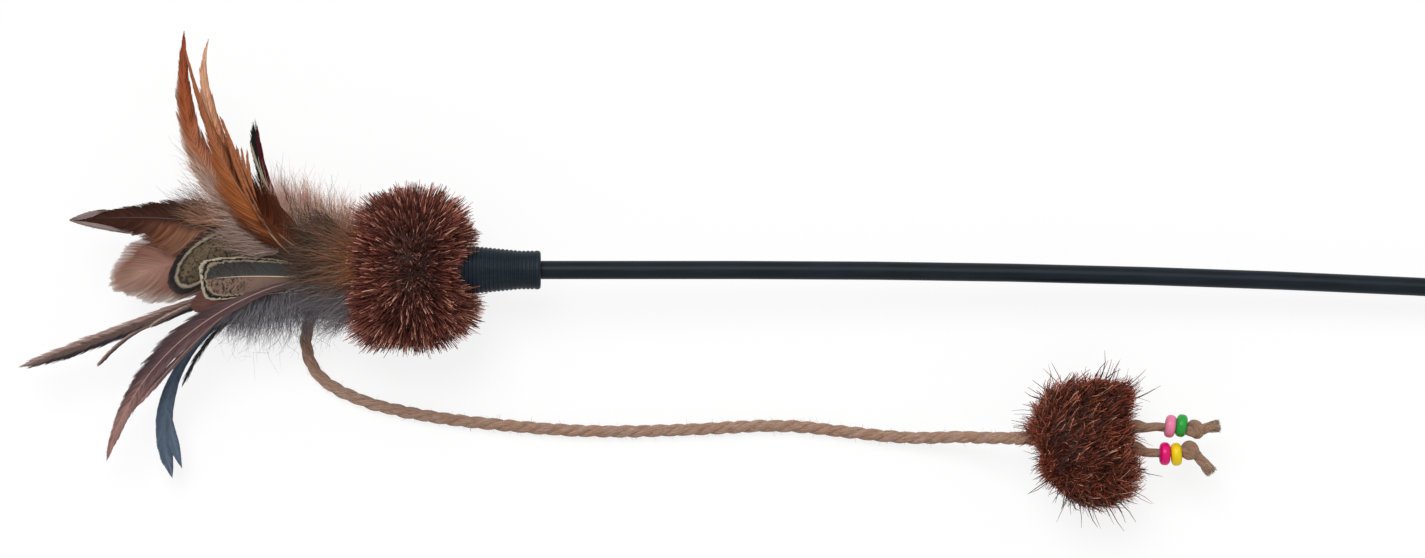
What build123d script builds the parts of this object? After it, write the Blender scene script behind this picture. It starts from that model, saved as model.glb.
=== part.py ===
from build123d import *
import os
from math import asin, atan2, cos, degrees, hypot, pi, radians, sin, sqrt, tan

# Cat teaser wand, in millimetres. It lies on a flat surface at z = 0 with the rod
# along +x. The origin is on that surface, under the middle of the large pom-pom.

os.makedirs("parts", exist_ok=True)

# Fits
seat_gap = 0.1        # between pieces that are glued or pressed together
running_gap = 0.3     # between pieces that move on each other
floor_gap = 0.1       # height of the twine above the surface it lies on

# Rod
rod_diameter = 4.8
rod_straight = 52.0       # straight run that leaves the ferrule
rod_bow_radius = 3600.0   # slow sideways bow of the rest
rod_bow_length = 388.0
rod_socket_depth = 12.2   # length held in the ferrule

# Cap on the far end of the rod
cap_wall = 1.2
cap_depth = 14.0          # length of sleeve over the rod
cap_floor = 1.6
cap_round = 0.9

# Ribbed ferrule
ferrule_mouth = 10.0          # distance of its wide end from the middle of the pom-pom
ferrule_length = 23.0
ferrule_wall = 1.7            # wall round the feather bundle
ferrule_neck_diameter = 10.1  # outside, at the rod end
ferrule_neck_length = 5.4
ferrule_round = 0.8
rib_pitch = 1.08
rib_depth = 0.2
rib_groove_radius = 0.34
rib_count = 18
rib_start = 1.7               # plain lip at the rod end

# Feather bundle
quill_diameter = 1.0
quill_gap = 0.3
quill_tail = 18.0             # quills reach this far past the middle of the pom-pom
binding_wall = 0.7
binding_setback = 1.0         # binding stops this far inside the pom-pom
glue_thickness = 2.0
vane_thickness = 0.5

# Large pom-pom
pile_lobe_radius = 16.2       # round section of the pile
pile_lobe_centre = 4.2        # distance of that section from the axis
pile_sit = 0.5                # depth of pile pressed flat by the surface
tie_width = 3.0
tie_thickness = 1.0

# Strands that stand out of both pom-poms
strand_base = 1.5
strand_tip = 0.3
strand_reach = 1.6
strand_sink = 0.7
strand_spacing = 3.7
strand_floor = 2.0            # none stands lower than this

# Twine
twine_diameter = 3.0
drop_height = 9.5             # where the anchored end stops above the surface

# Lure
lure_lobe_radius = 13.0
lure_lobe_centre = 2.6
lure_core_radius = 4.4
lure_offset = -0.6            # lure axis beside the end of the twine

# Twine tails with their beads and knots
tail_diameter = 2.6
tail_spread = 3.15            # each tail leaves this far from the middle
tail_heading = 3.0            # degrees that the tails spread
knot_ring = 1.15
knot_thickness = 1.1
bead_diameter = 6.0
bead_width = 2.8
bead_bore = 3.4
bead_round = 1.2

# Radii and stations that follow from these
rod_radius = rod_diameter / 2
twine_radius = twine_diameter / 2
tail_radius = tail_diameter / 2
ferrule_end = ferrule_mouth + ferrule_length
rod_tip = ferrule_end - rod_socket_depth
quill_pitch = quill_diameter + quill_gap
quill_row = quill_pitch * sqrt(3) / 2
pile_radius = pile_lobe_centre + pile_lobe_radius
lure_radius = lure_lobe_centre + lure_lobe_radius
axis_height = pile_radius - pile_sit
cap_radius = rod_radius + seat_gap + cap_wall

# The anchored twine lies below the quills in the bundle.
twine_slot_side = 0.35
twine_slot_drop = quill_diameter / 2 + quill_gap + twine_radius + 0.15
bundle_radius = max(
    hypot(0.5 * quill_pitch, 3 * quill_row) + quill_diameter / 2,
    hypot(twine_slot_side, twine_slot_drop) + twine_radius,
)
binding_inner = bundle_radius + quill_gap
binding_outer = binding_inner + binding_wall
socket_radius = binding_outer + seat_gap
mouth_radius = socket_radius + ferrule_wall
plume_root = -(pile_lobe_radius + 0.4)

# The wand slopes from the pom-pom down to its cap, which rests on the surface.
bow_angle = rod_bow_length / rod_bow_radius
rod_end_along = ferrule_end + rod_straight + rod_bow_radius * sin(bow_angle)
rod_end_side = -rod_bow_radius * (1 - cos(bow_angle))
cap_rest = rod_end_along + (cap_floor - cap_round) * cos(bow_angle)
slope = asin((axis_height - 0.02) / hypot(cap_rest, cap_radius)) - atan2(cap_radius, cap_rest)

wand = Plane(
    origin=(0, 0, axis_height),
    x_dir=(cos(slope), 0, -sin(slope)),
    z_dir=(sin(slope), 0, cos(slope)),
)
wand_axis = Axis(wand.origin, wand.x_dir)
wand_profile = Plane(origin=wand.origin, x_dir=wand.x_dir, z_dir=(0, -1, 0))


# Rod: straight out of the ferrule, then slowly bowed to the side
with BuildPart() as rod:
    with BuildLine(wand) as rod_path:
        straight = Line((rod_tip, 0), (ferrule_end + rod_straight, 0))
        JernArc(straight @ 1, (1, 0), rod_bow_radius, -degrees(bow_angle))
    with BuildSketch(Plane(origin=rod_path.line @ 0, z_dir=rod_path.line % 0)):
        Circle(rod_radius)
    sweep()
rod.part.label = "rod"
export_step(rod.part, "parts/rod.step")


# Cap: a round-ended sleeve on the far end of the rod
cap_out = wand.from_local_coords(Vector(rod_end_along, rod_end_side, 0))
cap_way = wand.from_local_coords(
    Vector(rod_end_along + cos(bow_angle), rod_end_side - sin(bow_angle), 0)
) - cap_out
cap_plane = Plane(origin=cap_out, z_dir=cap_way)
with BuildPart() as rod_cap:
    with BuildSketch(cap_plane.offset(-cap_depth)):
        Circle(cap_radius)
    extrude(amount=cap_depth + cap_floor)
    fillet(rod_cap.faces().sort_by(Axis(cap_out, cap_way))[-1].edges(), cap_round)
    with BuildSketch(cap_plane.offset(-cap_depth)):
        Circle(rod_radius + seat_gap)
    extrude(amount=cap_depth + seat_gap, mode=Mode.SUBTRACT)
rod_cap.part.label = "rod_cap"
export_step(rod_cap.part, "parts/rod_cap.step")


# Ferrule: a ribbed, flared collar with a bore for the rod and a socket for the bundle
neck_start = ferrule_end - ferrule_neck_length
flare = (mouth_radius - ferrule_neck_diameter / 2) / (neck_start - ferrule_mouth)


def ferrule_radius(station):
    """Outside radius of the collar at a distance from the middle of the pom-pom."""
    return ferrule_neck_diameter / 2 + flare * max(0.0, neck_start - station)


socket_end = quill_tail + glue_thickness + 0.6
with BuildPart() as ferrule:
    with BuildSketch(wand_profile):
        with BuildLine():
            Polyline(
                (ferrule_mouth, socket_radius),
                (ferrule_mouth, mouth_radius),
                (neck_start, ferrule_neck_diameter / 2),
                (ferrule_end - ferrule_round, ferrule_neck_diameter / 2),
            )
            RadiusArc(
                (ferrule_end - ferrule_round, ferrule_neck_diameter / 2),
                (ferrule_end, ferrule_neck_diameter / 2 - ferrule_round),
                ferrule_round,
            )
            Polyline(
                (ferrule_end, ferrule_neck_diameter / 2 - ferrule_round),
                (ferrule_end, rod_radius + seat_gap),
                (socket_end, rod_radius + seat_gap),
                (socket_end, socket_radius),
                (ferrule_mouth, socket_radius),
            )
        make_face()
    revolve(axis=wand_axis)
    with BuildSketch(wand_profile):
        for rib in range(rib_count):
            station = ferrule_end - rib_start - rib * rib_pitch
            with Locations((station, ferrule_radius(station) + rib_groove_radius - rib_depth)):
                Circle(rib_groove_radius)
    revolve(axis=wand_axis, mode=Mode.SUBTRACT)
ferrule.part.label = "ferrule"
export_step(ferrule.part, "parts/ferrule.step")


# Glue plug: set glue between the quill ends and the bottom of the socket
with BuildPart() as glue_plug:
    with BuildSketch(Plane(origin=wand.from_local_coords(Vector(quill_tail + 0.2, 0, 0)), z_dir=wand.x_dir)):
        Circle(binding_outer)
    extrude(amount=glue_thickness)
glue_plug.part.label = "glue_plug"
export_step(glue_plug.part, "parts/glue_plug.step")


# Quill binding: the sleeve of thread round the bundle
binding_left = plume_root + binding_setback
with BuildPart() as quill_binding:
    with BuildSketch(Plane(origin=wand.from_local_coords(Vector(binding_left, 0, 0)), z_dir=wand.x_dir)):
        Circle(binding_outer)
        Circle(binding_inner, mode=Mode.SUBTRACT)
    extrude(amount=quill_tail - binding_left)
quill_binding.part.label = "quill_binding"
export_step(quill_binding.part, "parts/quill_binding.step")


# Pom-pom tie: the ring that pulls the fibre in round the binding
tie_inner = binding_outer + seat_gap
with BuildPart() as pompom_tie:
    with BuildSketch(Plane(origin=wand.from_local_coords(Vector(-tie_width / 2, 0, 0)), z_dir=wand.x_dir)):
        Circle(tie_inner + tie_thickness)
        Circle(tie_inner, mode=Mode.SUBTRACT)
    extrude(amount=tie_width)
pompom_tie.part.label = "pompom_tie"
export_step(pompom_tie.part, "parts/pompom_tie.step")


def strand_seats(middle, along, lobe_radius, lobe_centre, reach_left, reach_right):
    """Seats of the strands, in rings round a lobed pile; each points straight out of it."""
    seats = []
    across = Vector(0, 1, 0)
    upward = along.cross(across)
    rings = int(1.5 * lobe_radius / strand_spacing)
    for ring in range(-rings, rings + 1):
        lean = ring * strand_spacing / lobe_radius
        if lean < -reach_left or lean > reach_right:
            continue
        ring_radius = lobe_centre + lobe_radius * cos(lean)
        count = int(2 * pi * ring_radius / strand_spacing)
        for step in range(count):
            turn = 2 * pi * (step + 0.37 * ring) / count
            radial = across * cos(turn) + upward * sin(turn)
            out = along * sin(lean) + radial * cos(lean)
            sunk = lobe_radius - strand_sink
            seat = middle + radial * lobe_centre + out * sunk
            top = seat + out * (strand_sink + strand_reach)
            if min(seat.Z, top.Z) < strand_floor:
                continue
            side = along.cross(radial)
            seats.append(Plane(origin=seat, x_dir=side, z_dir=side.cross(out)))
    return seats


# Large pom-pom: a lobed ring of pile with strands, pressed flat where it rests
pile_seats = strand_seats(
    wand.origin, wand.x_dir, pile_lobe_radius, pile_lobe_centre, radians(58), radians(60)
)
pile_span = 3 * pile_radius
with BuildPart() as pompom_pile:
    with BuildSketch(wand_profile):
        with Locations((0, pile_lobe_centre)):
            Circle(pile_lobe_radius)
        with Locations((0, binding_outer + seat_gap)):
            Rectangle(pile_span, pile_span, align=(Align.CENTER, Align.MAX), mode=Mode.SUBTRACT)
        with Locations((0, tie_inner + tie_thickness + seat_gap)):
            Rectangle(
                tie_width + 2 * seat_gap, pile_span, align=(Align.CENTER, Align.MAX), mode=Mode.SUBTRACT
            )
        with Locations((ferrule_mouth - seat_gap, mouth_radius + seat_gap)):
            Rectangle(pile_span, pile_span, align=(Align.MIN, Align.MAX), mode=Mode.SUBTRACT)
    revolve(axis=wand_axis)
    with Locations(*pile_seats):
        Wedge(
            strand_base,
            strand_sink + strand_reach,
            strand_base,
            (strand_base - strand_tip) / 2,
            (strand_base - strand_tip) / 2,
            (strand_base + strand_tip) / 2,
            (strand_base + strand_tip) / 2,
            align=(Align.CENTER, Align.MIN, Align.CENTER),
        )
    split(bisect_by=Plane.XY, keep=Keep.TOP)
pompom_pile.part.label = "pompom_pile"
export_step(pompom_pile.part, "parts/pompom_pile.step")


# Outlines of the vanes: place along the feather and share of its width
hackle = ((0.0, 0.1), (0.16, 0.3), (0.36, 0.85), (0.55, 1.0), (0.72, 0.66), (0.88, 0.34), (1.0, 0.05))
lance = ((0.0, 0.1), (0.2, 0.4), (0.4, 1.0), (0.6, 0.55), (0.8, 0.2), (1.0, 0.05))
spear = ((0.0, 0.08), (0.15, 0.25), (0.35, 0.75), (0.52, 1.0), (0.66, 0.85), (0.78, 0.55), (0.9, 0.28), (1.0, 0.04))
sickle = ((0.0, 0.08), (0.2, 0.4), (0.38, 0.85), (0.52, 1.0), (0.67, 0.85), (0.77, 0.6), (0.87, 0.3), (1.0, 0.04))
blunt = ((0.0, 0.08), (0.15, 0.25), (0.4, 0.7), (0.65, 0.97), (0.85, 1.0), (0.94, 0.85), (1.0, 0.4))
rounded = ((0.0, 0.08), (0.15, 0.22), (0.4, 0.7), (0.65, 1.0), (0.85, 0.95), (0.95, 0.7), (1.0, 0.3))
square = ((0.0, 0.1), (0.2, 0.4), (0.45, 0.85), (0.7, 1.0), (0.94, 1.0), (1.0, 0.92))
strap = ((0.0, 0.2), (0.2, 0.5), (0.5, 0.9), (0.8, 1.0), (0.94, 0.8), (1.0, 0.25))
tuft = ((0.0, 0.12), (0.2, 0.4), (0.45, 0.95), (0.65, 1.0), (0.85, 0.75), (1.0, 0.3))


def plume(column, row, lean, reach, tip, width, thickness, outline):
    """Feather or tuft: a quill in its place in the bundle and a vane along a curve.

    The curve leaves the bundle straight, bends by the points lean and reach, and ends
    at tip. These are measured from the place where the feathers leave the pom-pom.
    """
    side = column * quill_pitch
    lift = row * quill_row
    points = [Vector(0, side, lift), Vector(*lean), Vector(*reach), Vector(*tip)]
    quill_end = Vector(plume_root - 0.6, side, lift)
    with BuildPart() as feather:
        with BuildSketch(Plane(origin=wand.from_local_coords(quill_end), z_dir=wand.x_dir)):
            Circle(quill_diameter / 2)
        extrude(amount=quill_tail - quill_end.X)
        for place, share in outline:
            rest = 1 - place
            weights = (rest**3, 3 * rest**2 * place, 3 * rest * place**2, place**3)
            slopes = (-rest**2, rest**2 - 2 * rest * place, 2 * rest * place - place**2, place**2)
            spot = Vector(plume_root, 0, 0)
            way = Vector(0, 0, 0)
            for point, weight, steep in zip(points, weights, slopes):
                spot += point * weight
                way += point * steep
            across = Vector(0, 0, 1).cross(way)
            origin = wand.from_local_coords(spot)
            local = Plane(
                origin=origin,
                x_dir=wand.from_local_coords(spot + across) - origin,
                z_dir=wand.from_local_coords(spot + way) - origin,
            )
            half = max(share * width / 2, 0.3)
            deep = max(min(thickness / 2, 0.3 + share * thickness / 2), 0.2)
            with BuildSketch(local):
                Polygon((-half, 0), (0, -deep), (half, 0), (0, deep), align=None)
        loft()
    return feather.part


# Feathers: place in the bundle, curve, width, thickness and outline of each
plumes = {
    "rust_hackle_left": (0.5, 1, (-44.5, 17.8, 2.6), (-43.3, 37.3, 4.2), (-42.8, 61.8, 5.5), 7.0, vane_thickness, hackle),
    "rust_hackle_front": (1, 2, (-28.4, 4.2, 6.0), (-37.4, 41.3, 10.0), (-42.3, 57.2, 13.0), 11.5, vane_thickness, lance),
    "rust_hackle_right": (2, 2, (-29.1, 6.6, 3.6), (-41.2, 47.4, 6.8), (-36.2, 59.4, 9.5), 5.6, vane_thickness, hackle),
    "bronze_hackle": (2.5, 1, (-15.6, 1.2, 0.8), (-25.6, 25.4, 1.0), (-24.8, 38.6, 1.5), 3.2, vane_thickness, strap),
    "brown_pointed_feather": (2, 0, (-24.5, 6.0, -0.8), (-28.0, 19.0, -1.1), (-72.1, 12.9, -1.0), 11.6, vane_thickness, spear),
    "tan_broad_feather": (1, 0, (-19.5, 2.2, -2.6), (-48.0, 3.9, -3.2), (-62.3, -2.1, -3.6), 16.0, vane_thickness, blunt),
    "barred_feather_back": (0, 0, (-21.4, -5.1, 0.5), (-24.6, 23.5, 0.0), (-45.8, -5.7, -0.9), 11.0, vane_thickness, rounded),
    "barred_feather_front": (-0.5, 1, (-8.4, -3.5, 1.4), (-22.2, -0.2, 1.2), (-38.7, -2.6, 1.0), 10.2, vane_thickness, square),
    "umber_slim_feather": (-1, 0, (-21.2, 3.7, -3.7), (-60.3, -19.5, -5.6), (-85.4, -25.2, -9.0), 4.4, vane_thickness, strap),
    "umber_curved_feather": (-1, 2, (-21.4, -0.4, 4.2), (-53.7, -16.1, 2.5), (-63.3, -49.5, -8.0), 7.4, vane_thickness, sickle),
    "slate_strap_feather": (-1.5, -1, (-13.5, 1.9, -5.0), (-59.1, -16.7, -9.0), (-46.4, -54.4, -14.0), 4.4, vane_thickness, strap),
    "black_wisp_feather": (-2, 0, (-15.2, -0.5, -1.5), (-35.7, -9.7, -4.5), (-43.5, -30.2, -8.0), 2.2, vane_thickness, strap),
    "brick_short_feather": (-1.5, 1, (-7.5, -1.7, 0.0), (-25.4, -7.4, 0.0), (-41.3, -9.4, 0.1), 8.2, vane_thickness, blunt),
    "down_upper": (2.5, -1, (-6, 6, -4), (-9, 13, -6.5), (-12, 23, -7), 15.0, 8.0, tuft),
    "down_lower": (-2, -2, (-6, -5, -7), (-12, -10, -10), (-24, -17, -11), 14.0, 7.0, tuft),
    "down_crown": (0.5, 3, (-5, 0, 6.0), (-9, -1, 8.5), (-14, -2, 9.5), 16.0, 3.4, tuft),
}
for name, values in plumes.items():
    feather = plume(*values)
    feather.label = name
    export_step(feather, f"parts/{name}.step")


def route_radii(points):
    """Bend radius at each inner point: wide bends on long runs, tight ones on short runs."""
    radii = []
    for before, point, after in zip(points, points[1:], points[2:]):
        arriving = Vector(*point) - Vector(*before)
        leaving = Vector(*after) - Vector(*point)
        half_turn = radians(arriving.get_angle(leaving)) / 2
        radii.append(0.45 * min(arriving.length, leaving.length) / tan(half_turn))
    return radii


# Anchored end of the twine: out of the bundle, then straight down
anchor_start = wand.from_local_coords(Vector(plume_root + 6, twine_slot_side, -twine_slot_drop))
anchor_turn = wand.from_local_coords(Vector(plume_root - 4.6, twine_slot_side, -twine_slot_drop))
anchor_foot = Vector(anchor_turn.X, anchor_turn.Y, drop_height)
root_points = [tuple(anchor_start), tuple(anchor_turn), tuple(anchor_foot)]
with BuildPart() as twine_root:
    with BuildLine() as root_path:
        FilletPolyline(*root_points, radius=route_radii(root_points))
    with BuildSketch(Plane(origin=root_path.line @ 0, z_dir=root_path.line % 0)):
        Circle(twine_radius)
    sweep()
twine_root.part.label = "twine_root"
export_step(twine_root.part, "parts/twine_root.step")


# Free twine: down to the surface, round below the plume, along beside the rod, and up
# to the middle of the lure
twine_low = twine_radius + floor_gap
lure_height = lure_radius - pile_sit
twine_points = [
    (anchor_foot.X, anchor_foot.Y, drop_height - running_gap),
    (anchor_foot.X, anchor_foot.Y, twine_low),
    (-26.2, -7.8, twine_low),
    (-30.4, -18.6, twine_low),
    (-27.0, -28.0, twine_low),
    (-15.0, -34.2, twine_low),
    (1.0, -37.9, twine_low),
    (20.0, -40.1, twine_low),
    (45.0, -42.2, twine_low),
    (70.0, -41.6, twine_low),
    (96.0, -39.9, twine_low),
    (114.0, -42.2, twine_low),
    (130.0, -43.8, 0.2 * lure_height),
    (142.0, -43.1, 0.48 * lure_height),
    (151.0, -43.7, 0.78 * lure_height),
    (158.6, -43.7, lure_height),
]
twine_radii = route_radii(twine_points)
with BuildPart() as twine:
    with BuildLine() as twine_path:
        FilletPolyline(*twine_points, radius=twine_radii)
    with BuildSketch(Plane(origin=twine_path.line @ 0, z_dir=twine_path.line % 0)):
        Circle(twine_radius)
    sweep()
    with Locations(twine_points[-1]):
        Sphere(twine_radius)
twine.part.label = "twine"
export_step(twine.part, "parts/twine.step")
twine_length = sum(edge.length for edge in twine_path.edges())
print("twine radii", [round(radius, 1) for radius in twine_radii])
print("twine length", round(twine_length, 2))
print(
    "twine volume",
    round(twine.part.volume, 1),
    "section times length",
    round(pi * twine_radius**2 * twine_length + 2 / 3 * pi * twine_radius**3, 1),
)


# Lure core: the knotted twine that the small pom-pom is tied on
lure_left = twine_points[-1][0] + twine_radius + running_gap
lure_middle = Vector(lure_left + lure_lobe_radius, twine_points[-1][1] + lure_offset, lure_height)
lure_axis = Axis(lure_middle, (1, 0, 0))
lure_profile = Plane(origin=lure_middle, x_dir=(1, 0, 0), z_dir=(0, -1, 0))
core_half = lure_lobe_radius - 0.1
with BuildPart() as lure_core:
    with BuildSketch(Plane(origin=lure_middle - Vector(core_half, 0, 0), z_dir=(1, 0, 0))):
        Circle(lure_core_radius)
    extrude(amount=2 * core_half)
lure_core.part.label = "lure_core"
export_step(lure_core.part, "parts/lure_core.step")


# Lure pile: the small pom-pom, made like the large one
lure_seats = strand_seats(
    lure_middle, Vector(1, 0, 0), lure_lobe_radius, lure_lobe_centre, radians(60), radians(50)
)
lure_span = 3 * lure_radius
with BuildPart() as lure_pile:
    with BuildSketch(lure_profile):
        with Locations((0, lure_lobe_centre)):
            Circle(lure_lobe_radius)
        with Locations((0, lure_core_radius + seat_gap)):
            Rectangle(lure_span, lure_span, align=(Align.CENTER, Align.MAX), mode=Mode.SUBTRACT)
    revolve(axis=lure_axis)
    with Locations(*lure_seats):
        Wedge(
            strand_base,
            strand_sink + strand_reach,
            strand_base,
            (strand_base - strand_tip) / 2,
            (strand_base - strand_tip) / 2,
            (strand_base + strand_tip) / 2,
            (strand_base + strand_tip) / 2,
            align=(Align.CENTER, Align.MIN, Align.CENTER),
        )
    split(bisect_by=Plane.XY, keep=Keep.TOP)
lure_pile.part.label = "lure_pile"
export_step(lure_pile.part, "parts/lure_pile.step")
print("strands", len(pile_seats), len(lure_seats))


# Tails: two twine ends past the lure, each with a knot and a loose end
tail_start = lure_middle.X + lure_lobe_radius + tail_radius + running_gap


def tail(side, run, bend, loose):
    """Tail that swings about its round root, with a knot at the end of its run."""
    heading = radians(side * tail_heading)
    root = lure_middle + Vector(0, side * tail_spread, 0)
    root = Vector(tail_start, root.Y, root.Z)
    way = Vector(cos(heading), sin(heading), 0)
    knot = root + way * run
    away = Vector(cos(radians(bend)), sin(radians(bend)), 0)
    with BuildPart() as piece:
        with BuildSketch(Plane(origin=root, x_dir=way, z_dir=(0, 0, 1))):
            with BuildLine():
                RadiusArc((-tail_radius, 0), (0, tail_radius), tail_radius)
                Polyline((0, tail_radius), (run, tail_radius), (run, 0), (-tail_radius, 0))
            make_face()
        revolve(axis=Axis(root, way))
        with BuildSketch(Plane(origin=knot, z_dir=away)):
            Circle(tail_radius * 0.92)
        extrude(amount=loose)
        with Locations(knot):
            Sphere(knot_ring + 0.6)
        for lean in (-22, 34):
            turned = Vector(cos(heading + radians(lean)), sin(heading + radians(lean)), 0)
            with Locations(Plane(origin=knot, z_dir=turned)):
                Torus(knot_ring, knot_thickness)
    return piece.part, root, way


tail_upper, upper_root, upper_way = tail(1, 15.3, 14, 5.8)
tail_lower, lower_root, lower_way = tail(-1, 13.9, -44, 7.0)
tail_upper.label = "tail_upper"
tail_lower.label = "tail_lower"
export_step(tail_upper, "parts/tail_upper.step")
export_step(tail_lower, "parts/tail_lower.step")


def bead(root, way, distance, tilt):
    """Rondelle bead on a tail, tilted in the plane of the surface."""
    middle = root + way * distance
    axle = Vector(cos(radians(tilt)), sin(radians(tilt)), 0)
    with BuildPart() as piece:
        with BuildSketch(Plane(origin=middle, x_dir=axle, z_dir=(0, 0, 1))) as profile:
            with Locations((0, bead_bore / 2)):
                Rectangle(bead_width, (bead_diameter - bead_bore) / 2, align=(Align.CENTER, Align.MIN))
            fillet(profile.vertices().sort_by(Axis.Y)[-2:], bead_round)
        revolve(axis=Axis(middle, axle))
    return piece.part, middle, axle


beads = {
    "bead_pink": bead(upper_root, upper_way, 8.8, -9),
    "bead_green": bead(upper_root, upper_way, 11.7, -9),
    "bead_magenta": bead(lower_root, lower_way, 7.4, -1),
    "bead_yellow": bead(lower_root, lower_way, 10.4, 3),
}
for name, made in beads.items():
    made[0].label = name
    export_step(made[0], f"parts/{name}.step")
print("wand slope", round(degrees(slope), 3), "cap end", [round(value, 2) for value in cap_out])
print("twine drop", [round(value, 2) for value in anchor_foot])
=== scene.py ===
import math

import bpy
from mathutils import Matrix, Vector


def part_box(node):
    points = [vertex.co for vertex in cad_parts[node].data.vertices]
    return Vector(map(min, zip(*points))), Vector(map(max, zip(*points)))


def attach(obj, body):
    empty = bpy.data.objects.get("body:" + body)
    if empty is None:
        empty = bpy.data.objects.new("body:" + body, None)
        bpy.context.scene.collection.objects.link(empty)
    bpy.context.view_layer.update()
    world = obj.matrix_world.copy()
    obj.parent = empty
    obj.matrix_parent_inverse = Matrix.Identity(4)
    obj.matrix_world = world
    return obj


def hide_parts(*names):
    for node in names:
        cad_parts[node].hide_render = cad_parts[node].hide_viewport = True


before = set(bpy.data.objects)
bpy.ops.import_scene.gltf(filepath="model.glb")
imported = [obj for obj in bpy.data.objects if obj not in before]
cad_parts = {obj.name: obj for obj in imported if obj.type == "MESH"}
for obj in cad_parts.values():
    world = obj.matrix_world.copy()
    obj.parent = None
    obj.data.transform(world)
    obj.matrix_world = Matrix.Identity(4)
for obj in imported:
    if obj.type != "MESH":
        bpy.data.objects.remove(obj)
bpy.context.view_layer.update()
mm = 0.001


# The view: the wand lies on a white table and is seen from straight above. One broad soft light
# comes from the far side of the table, and the room fills in the rest.
photo_width, photo_height = 1425, 558
pixel_size = 0.26 * mm
wand_pixel = Vector((414, 270))
camera_height = 2.0
wand_height = 18 * mm


def new_object(name, data):
    """A new object in the scene."""
    made = bpy.data.objects.new(name, data)
    bpy.context.scene.collection.objects.link(made)
    return made


seen_width = photo_width * pixel_size
camera_data = bpy.data.cameras.new("camera")
camera_data.sensor_width = 36
camera_data.sensor_fit = "HORIZONTAL"
camera_data.lens = camera_data.sensor_width * camera_height / seen_width
camera = new_object("camera", camera_data)
camera.location = (
    (photo_width / 2 - wand_pixel.x) * pixel_size,
    (wand_pixel.y - photo_height / 2) * pixel_size,
    wand_height + camera_height,
)
bpy.context.scene.camera = camera
bpy.context.scene.view_settings.view_transform = "Standard"


def add(tree, kind, *feeds, **settings):
    """Adds a node with these settings. Feeds fill its inputs in order: a socket, a value, or None."""
    made = tree.nodes.new(kind)
    for name, value in settings.items():
        setattr(made, name, value)
    ready = [socket for socket in made.inputs if socket.enabled]
    for socket, feed in zip(ready, feeds):
        if isinstance(feed, bpy.types.NodeSocket):
            tree.links.new(feed, socket)
        elif feed is not None:
            socket.default_value = feed
    return next((socket for socket in made.outputs if socket.enabled), None)


def maths(tree, operation, *feeds):
    """A Math node's value."""
    return add(tree, "ShaderNodeMath", *feeds, operation=operation)


def seen_rays(tree):
    """1 for rays from the camera, also by way of gloss or glass, and 0 for the light that fills the room."""
    rays = add(tree, "ShaderNodeLightPath").node.outputs
    seen = maths(tree, "MAXIMUM", rays["Is Camera Ray"], rays["Is Glossy Ray"])
    return maths(tree, "MAXIMUM", seen, rays["Is Transmission Ray"])


room_light = 0.5
room = bpy.data.worlds.new("room")
room.use_nodes = True
room_tree = room.node_tree
room_tree.nodes.clear()
strength = maths(room_tree, "MULTIPLY_ADD", seen_rays(room_tree), 1 - room_light, room_light)
add(room_tree, "ShaderNodeOutputWorld", add(room_tree, "ShaderNodeBackground", (1, 1, 1, 1), strength))
bpy.context.scene.world = room

lamp_data = bpy.data.lights.new("window_light", "SUN")
lamp_data.energy = 1.75
lamp_data.angle = math.radians(32)
lamp = new_object("window_light", lamp_data)
lamp.rotation_euler = (math.radians(-27), math.radians(-10), 0)

table_half = 6.0
table_drop = 0.2 * mm
table_grey = 0.92
glow_share = 0.8
glow_strength = 1.03
table_mesh = bpy.data.meshes.new("table")
corners = [(-1, -1), (1, -1), (1, 1), (-1, 1)]
table_mesh.from_pydata(
    [(x * table_half, y * table_half, -table_drop) for x, y in corners], [], [(0, 1, 2, 3)])
table = new_object("table", table_mesh)
table_white = bpy.data.materials.new("table_white")
table_white.use_nodes = True
table_tree = table_white.node_tree
table_tree.nodes.clear()
seen = maths(table_tree, "MULTIPLY", seen_rays(table_tree), glow_share)
matt = add(table_tree, "ShaderNodeBsdfDiffuse", (table_grey, table_grey, table_grey, 1))
glow = add(table_tree, "ShaderNodeEmission", (1, 1, 1, 1), glow_strength)
add(table_tree, "ShaderNodeOutputMaterial", add(table_tree, "ShaderNodeMixShader", seen, matt, glow))
table_mesh.materials.append(table_white)


# The line: soft three-ply jute twine, 3 mm thick and loosely laid, that leaves the feather bundle,
# drops to the table and runs along it to the lure. The plies show as long slanting bulges.
twine_ply_radius = 1.0 * mm
twine_ply_offset = 0.66 * mm
twine_lay = 13 * mm
twine_plies = 3
line_exit = (-21.27, 0.35, 9.2)
line_route = [
    line_exit, (-21.27, 0.35, 1.6), (-26.2, -7.8, 1.6), (-29.8, -18.6, 1.6), (-26.2, -28.4, 1.6),
    (-14.8, -34.4, 1.6), (1.0, -38.2, 1.6), (20.0, -40.5, 1.6), (45.0, -42.5, 1.6), (70.0, -42.0, 1.6),
    (96.0, -40.4, 1.6), (114.0, -42.6, 1.6), (130.0, -44.2, 3.02), (142.0, -43.5, 7.25),
    (151.0, -43.9, 11.78), (158.6, -43.7, 15.1),
]


def read_route(points):
    """Points along the smooth line that a list of places in millimetres pulls into shape."""
    curve = bpy.data.curves.new("route", "CURVE")
    curve.dimensions = "3D"
    curve.resolution_u = 12
    spline = curve.splines.new("NURBS")
    spline.points.add(len(points) - 1)
    for knot, place in zip(spline.points, points):
        knot.co = (*(Vector(place) * mm), 1)
    spline.order_u = 3
    spline.use_endpoint_u = True
    holder = new_object("route", curve)
    ready = holder.evaluated_get(bpy.context.evaluated_depsgraph_get())
    drawn = bpy.data.meshes.new_from_object(ready)
    line = [corner.co.copy() for corner in drawn.vertices]
    bpy.data.objects.remove(holder)
    bpy.data.curves.remove(curve)
    bpy.data.meshes.remove(drawn)
    return line


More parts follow.
